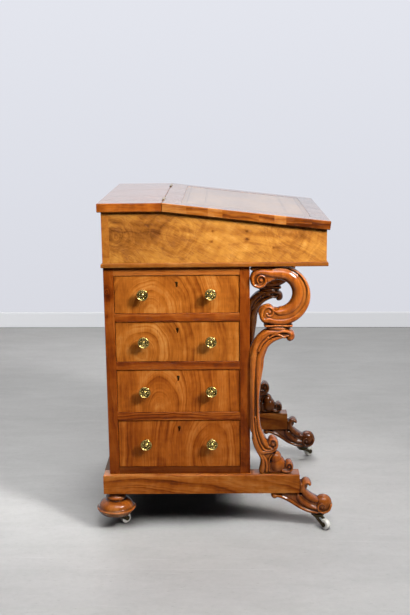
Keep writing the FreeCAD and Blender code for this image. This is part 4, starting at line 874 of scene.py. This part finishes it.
# Bun feet: radius and height over the sole, from the castor's bore by rim, dome and collar to the dowel
BUN_BORE, BUN_BORE_DEEP, BUN_NECK, BUN_DOWEL = 6.8, 27.4, 21.4, 11.0
BUN_OUTSIDE = (
    (34, 0), (39, 1.6), (43.2, 5.4), (46.4, 10), (48.6, 14), (49.8, 16.2), (49.9, 17.2), (49.2, 18),
    (47.2, 18.8), (45.2, 20), (43.9, 21.8), (43, 24.4), (41.6, 28.2), (39, 32), (35.2, 35), (30.4, 37),
    (26, 38.2), (23.6, 39), (23, 40), (23.8, 41), (25.2, 42.6), (26, 45), (25.9, 47.4), (25, 49.6),
    (23.4, 51.2), (22, 52.4),
)
BUN_TURNS = 72


def bun_piece(side, tint, seed):
    """A turned foot in place of a CAD bun foot, the right one painted darker as painted shade."""
    node = f"bun_foot_{side}"
    low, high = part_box(node)
    seat, top = (RUNNER_LOW.z - low.z - SEAT_GAP) / MM, (high.z - low.z) / MM
    bore, dowel = [(BUN_BORE, BUN_BORE_DEEP), (BUN_BORE, 0.0)], [(BUN_DOWEL, seat), (BUN_DOWEL, top)]
    rings = [*bore, *BUN_OUTSIDE, (BUN_NECK, seat), *dowel]
    x, y = (low.x + high.x) / 2, (low.y + high.y) / 2
    verts = [(x + a * MM, y + b * MM, low.z + height * MM) for a, b, height in lathe_points(rings, BUN_TURNS)]
    faces = tube_faces(len(rings), BUN_TURNS)
    piece = new_object(f"turned_{node}", verts, faces)
    piece.data.shade_smooth()
    piece.data.materials.append(walnut(
        f"bun_walnut_{side}", "Z", "X", pith=(-252, 70), face=low.y / MM, cone=0.2, deep=40,
        spacing=6, warp=8, gain=0.8 * tint, warm=0.88,
        streak=0.9, burr=0.7, coat=0.5, rough=0.2, seed=seed, dirt_and_shade_in_hollows=True))
    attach(piece, "desk")
    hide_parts(node)


for side, seed, tint in zip(SIDES, BASE_SEEDS, SIDE_SHADES):
    bun_piece(side, tint, seed)


# Brass knobs: a turned stem and a face with a ring of beads

KNOB_PROFILE = (
    (2.4, -4), (2.4, 0), (9.4, 0), (9.5, 1.2), (8.7, 2.1), (6.6, 2.5), (5.4, 3.4), (4.8, 6), (4.7, 9),
    (5.3, 11.6), (7.2, 13.2), (10.8, 14.3), (13.3, 15.6), (14.4, 17.2), (14.4, 18.8), (13.8, 20.2),
    (12.9, 20.9), (12, 20.7), (11.4, 19.9), (10.9, 19), (5.2, 18.6), (4.6, 19.6), (4.4, 20.6),
    (3.6, 21.8), (2, 22.6),
)
KNOB_TIP = 22.8
KNOB_BEADS, KNOB_TURNS = 8, 40
BEAD_RING, BEAD_RADIUS, BEAD_DEPTH, BEAD_OUT = 7.9, 2.25, 1.9, 18.9


def knob_parts(x, y, z, outward):
    """Mesh of one knob on a face at y, standing out along Y."""
    verts = [(a, out, b) for a, b, out in lathe_points(KNOB_PROFILE, KNOB_TURNS)]
    faces = tube_faces(len(KNOB_PROFILE), KNOB_TURNS, closed=False)
    tip = len(verts)
    verts.append((0.0, KNOB_TIP, 0.0))
    for j in range(KNOB_TURNS):
        faces.append((tip - KNOB_TURNS + j, tip - KNOB_TURNS + (j + 1) % KNOB_TURNS, tip))
    shells = [(verts, faces)]
    for i in range(KNOB_BEADS):
        angle = 2 * math.pi * (i + 0.5) / KNOB_BEADS
        bead_x, bead_z = BEAD_RING * math.cos(angle), BEAD_RING * math.sin(angle)
        bead, bead_faces = button(bead_x, bead_z, BEAD_RADIUS, BEAD_RADIUS, BEAD_DEPTH, rings=10, count=14)
        shells.append(([(a, BEAD_OUT + out, b) for a, out, b in bead], bead_faces))
    verts, faces = join(shells)
    if outward > 0:
        faces = [face[::-1] for face in faces]
    return [(x + a * MM, y + outward * out * MM, z + b * MM) for a, out, b in verts], faces


def knob_piece(name, places, face, outward, body, node):
    """A set of knobs in place of a CAD knob node."""
    verts, faces = join(knob_parts(x, face, z, outward) for x, z in places)
    piece = new_object(name, verts, faces)
    piece.data.shade_smooth()
    piece.data.materials.append(BRASS)
    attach(piece, body)
    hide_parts(node)


all_places = []
for index in range(1, 5):
    low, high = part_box(f"drawer_{index}_knobs")
    reach, level = (high.z - low.z) / 2, (low.z + high.z) / 2
    places = [(low.x + reach, level), (high.x - reach, level)]
    all_places += places
    knob_piece(f"rosette_knobs_{index}", places, LEFT_FACE * MM, -1, f"drawer_{index}",
               f"drawer_{index}_knobs")
RIGHT_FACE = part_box("false_drawer_fronts")[1].y
knob_piece("rosette_knobs_right", all_places, RIGHT_FACE, 1, "desk", "false_drawer_knobs")


# Camera, fitted to the photograph: metres, degrees, and the focal length and picture's height in pixels
CAMERA_PLACE = (0.02965, -2.6070, 1.0919)
CAMERA_TURN, CAMERA_DIP, CAMERA_ROLL = 1.127, 12.251, -0.725
FOCAL_PIXELS, PICTURE_PIXELS, SENSOR_WIDTH = 981.9, 615.0, 36.0
LEVEL = 90.0

camera_data = bpy.data.cameras.new("camera")
camera_data.sensor_width = SENSOR_WIDTH
camera_data.lens = FOCAL_PIXELS / PICTURE_PIXELS * SENSOR_WIDTH
camera = add_object("camera", camera_data)
camera.matrix_world = (
    Matrix.Translation(CAMERA_PLACE)
    @ Matrix.Rotation(math.radians(CAMERA_TURN), 4, "Z")
    @ Matrix.Rotation(math.radians(LEVEL - CAMERA_DIP), 4, "X")
    @ Matrix.Rotation(math.radians(CAMERA_ROLL), 4, "Z")
)
bpy.context.scene.camera = camera


# Studio: floor, skirting and lamps, in front of a wall that is the colour of the world

WALL_Y = 1.98
STAGE_TURN = -1.8
STAGE_REACH, FLOOR_THICK = 7.0, 0.05
SKIRTING_THICK, SKIRTING_HIGH, SKIRTING_EDGE, SKIRTING_GLOW = 0.016, 0.075, 0.006, 0.73
SKIRTING_WHITE, PLASTER_GREY = (0.76, 0.77, 0.80), (0.3, 0.3, 0.31, 1.0)
FLOOR_TONES = [(0.1, (0.40, 0.397, 0.393)), (0.9, (0.51, 0.508, 0.503))]
FLOOR_BOUNCE, FLECK_COLOUR, SCRATCH_COLOUR = (0.12, 0.117, 0.114), (0.24, 0.235, 0.23), (0.56, 0.56, 0.56)
# Floor noises: scale, detail, roughness and distortion, and how finely some are drawn along X and Y
FLOOR_CLOUD, FLOOR_SPECK, SMUDGE = (2.2, 5.0, 0.6), (60.0, 4.0, 0.7), (1.0, 4.0, 0.62, 0.6)
FLECK, SCRATCH = (1.0, 2.0, 0.5), (1.0, 2.0, 0.5, 1.5)
FLECK_GRAIN, SMUDGE_GRAIN, SCRATCH_GRAIN = (70.0, 210.0, 1.0), (5.0, 15.0, 1.0), (3.0, 90.0, 1.0)
# The floor is painted darker and made duller in deep shade, a painted shadow within this reach of what stands
# over it
SHADE_REACH, SHADE_SAMPLES, SHADE_STOPS, FLOOR_SPECULAR = 0.3, 16, [(0.25, 0.15), (0.55, 1.0)], 0.25


def concrete(name):
    """Worn grey floor with painted shadow close under what stands over it, darker for light that bounces than
    for what is seen.
    """
    paint = Paint(name)
    cloud = paint.noise(paint.place, *FLOOR_CLOUD)
    speck = paint.noise(paint.place, *FLOOR_SPECK)
    fleck = paint.noise(paint.stretched(FLECK_GRAIN), *FLECK)
    smudge = paint.noise(paint.stretched(SMUDGE_GRAIN), *SMUDGE)
    scratch = paint.noise(paint.stretched(SCRATCH_GRAIN), *SCRATCH)
    tone = paint.total(0.5, paint.centred(cloud, 1.0), paint.centred(speck, 0.7), paint.centred(smudge, 0.9))
    colour = paint.ramp(tone, FLOOR_TONES)
    colour = paint.blend(paint.times(paint.ramp(fleck, [(0.64, 0.0), (0.73, 1.0)]), 0.34), colour,
                         FLECK_COLOUR)
    colour = paint.blend(paint.ramp(scratch, [(0.66, 0.0), (0.74, 0.3)]), colour, SCRATCH_COLOUR)
    open_air = paint.ramp(paint.openness(SHADE_REACH, SHADE_SAMPLES), SHADE_STOPS)
    # Painted shadow: darker where something stands close over the floor
    colour = paint.blend(1.0, colour, open_air, "MULTIPLY")
    paint.put(paint.bsdf.inputs["Specular IOR Level"], paint.times(open_air, FLOOR_SPECULAR))
    colour = paint.blend(paint.seen(), FLOOR_BOUNCE, colour)
    return paint.close(colour, paint.total(0.6, paint.centred(speck, 0.3)), speck, depth=0.0004)


def plaster(name, colour):
    """White paint that glows for the camera, so that no lamp has to light it."""
    paint = Paint(name, Specular_IOR_Level=0.2)
    cloud = paint.noise(paint.place, 1.1, 3.0, 0.5)
    shown = paint.blend(cloud, tuple(0.96 * c for c in colour), colour)
    paint.put(paint.bsdf.inputs["Emission Color"], shown)
    paint.put(paint.bsdf.inputs["Emission Strength"], paint.times(paint.seen(), SKIRTING_GLOW))
    return paint.close(PLASTER_GREY, 0.75, paint.noise(paint.place, 240.0, 2.0), depth=0.0003)


def stage_box(name, low, high, material):
    verts = list(product(*zip(low, high)))
    faces = [(0, 1, 3, 2), (4, 6, 7, 5), (0, 4, 5, 1), (2, 3, 7, 6), (0, 2, 6, 4), (1, 5, 7, 3)]
    made = new_object(name, verts, faces)
    made.data.materials.append(material)
    made.rotation_euler.z = math.radians(STAGE_TURN)
    return made


stage_box("stage_floor", (-STAGE_REACH, -STAGE_REACH, -FLOOR_THICK), (STAGE_REACH, WALL_Y, 0.0),
          concrete("floor_grey"))
skirting = stage_box(
    "stage_skirting", (-STAGE_REACH, WALL_Y - SKIRTING_THICK, 0.0), (STAGE_REACH, WALL_Y, SKIRTING_HIGH),
    plaster("skirting_white", SKIRTING_WHITE))
soft_edge = skirting.modifiers.new("edge", "BEVEL")
soft_edge.width = SKIRTING_EDGE
soft_edge.segments = 3

WHITE, WARM_WHITE = (1.0, 1.0, 1.0), (1.0, 0.985, 0.96)
# Lamps: place, target, width, watts, then spread in degrees and colour where they aren't the usual
LAMPS = {
    "key": ((1.42, -1.4, 1.92), (0.14, -0.26, 0.82), 0.7, 7.4, 38.0, WARM_WHITE),
    "front": ((-0.2, -1.7, 2.9), (0.0, -0.3, 0.2), 2.2, 25.0),
    "apron": ((0.35, -1.95, 2.5), (0.25, -1.1, 0.0), 1.6, 14.5, 80.0),
    "back": ((0.0, 1.3, 3.0), (0.0, 0.6, 0.0), 2.4, 76.0),
    "left": ((-1.7, -1.7, 2.3), (0.0, 0.0, 0.45), 1.2, 1.2, 100.0),
}


def lamp(name, place, target, size, power, spread=180.0, colour=WHITE):
    data = bpy.data.lights.new(name, "AREA")
    data.shape = "DISK"
    data.size = size
    data.energy = power
    data.spread = math.radians(spread)
    data.color = colour
    made = add_object(name, data)
    made.location = place
    made.rotation_euler = (Vector(target) - Vector(place)).to_track_quat("-Z", "Y").to_euler()


for name, settings in LAMPS.items():
    lamp(name, *settings)

# World: the wall's colour from low to high, how bright it is from back to front, and light from all round
WALL_STOPS = (
    (0.0, (0.65, 0.66, 0.70)), (0.28, (0.69, 0.70, 0.76)), (0.42, (0.725, 0.74, 0.805)),
    (0.58, (0.77, 0.785, 0.85)), (1.0, (0.79, 0.805, 0.865)),
)
FRONT_STOPS = ((0.3, (0.10, 0.10, 0.11)), (0.62, WHITE))
AMBIENT_COLOUR, AMBIENT_STRENGTH = (0.94, 0.96, 1.0, 1.0), 0.008


def studio_world():
    """The pale wall that camera and polish see, dim behind the camera, and a little light all round."""
    world = bpy.data.worlds.new("studio")
    bpy.context.scene.world = world
    world.use_nodes = True
    sky = Nodes(world.node_tree)
    split = sky.add("ShaderNodeSeparateXYZ")
    sky.put(split.inputs[0], sky.add("ShaderNodeTexCoord").outputs["Generated"])

    def gradient(axis, stops):
        spread = sky.add("ShaderNodeMapRange")
        spread.inputs["From Min"].default_value = -0.5
        spread.inputs["From Max"].default_value = 0.5
        sky.put(spread.inputs["Value"], split.outputs[axis])
        return sky.ramp(spread.outputs[0], stops)

    def background(colour, strength=1.0):
        node = sky.add("ShaderNodeBackground")
        sky.put(node.inputs["Color"], colour)
        node.inputs["Strength"].default_value = strength
        return node.outputs[0]

    def mixed(factor, first, second):
        node = sky.add("ShaderNodeMixShader")
        for socket, value in zip(node.inputs, (factor, first, second)):
            sky.put(socket, value)
        return node.outputs[0]

    wall = gradient("Z", WALL_STOPS)
    mirrored = background(sky.blend(1.0, wall, gradient("Y", FRONT_STOPS), "MULTIPLY"))
    rays = sky.add("ShaderNodeLightPath").outputs
    polish = sky.math("MAXIMUM", rays["Is Glossy Ray"], rays["Is Transmission Ray"])
    light = mixed(polish, background(AMBIENT_COLOUR, AMBIENT_STRENGTH), mirrored)
    shown = mixed(rays["Is Camera Ray"], light, background(wall))
    sky.put(sky.add("ShaderNodeOutputWorld").inputs[0], shown)


studio_world()
bpy.context.scene.view_settings.view_transform = "Standard"
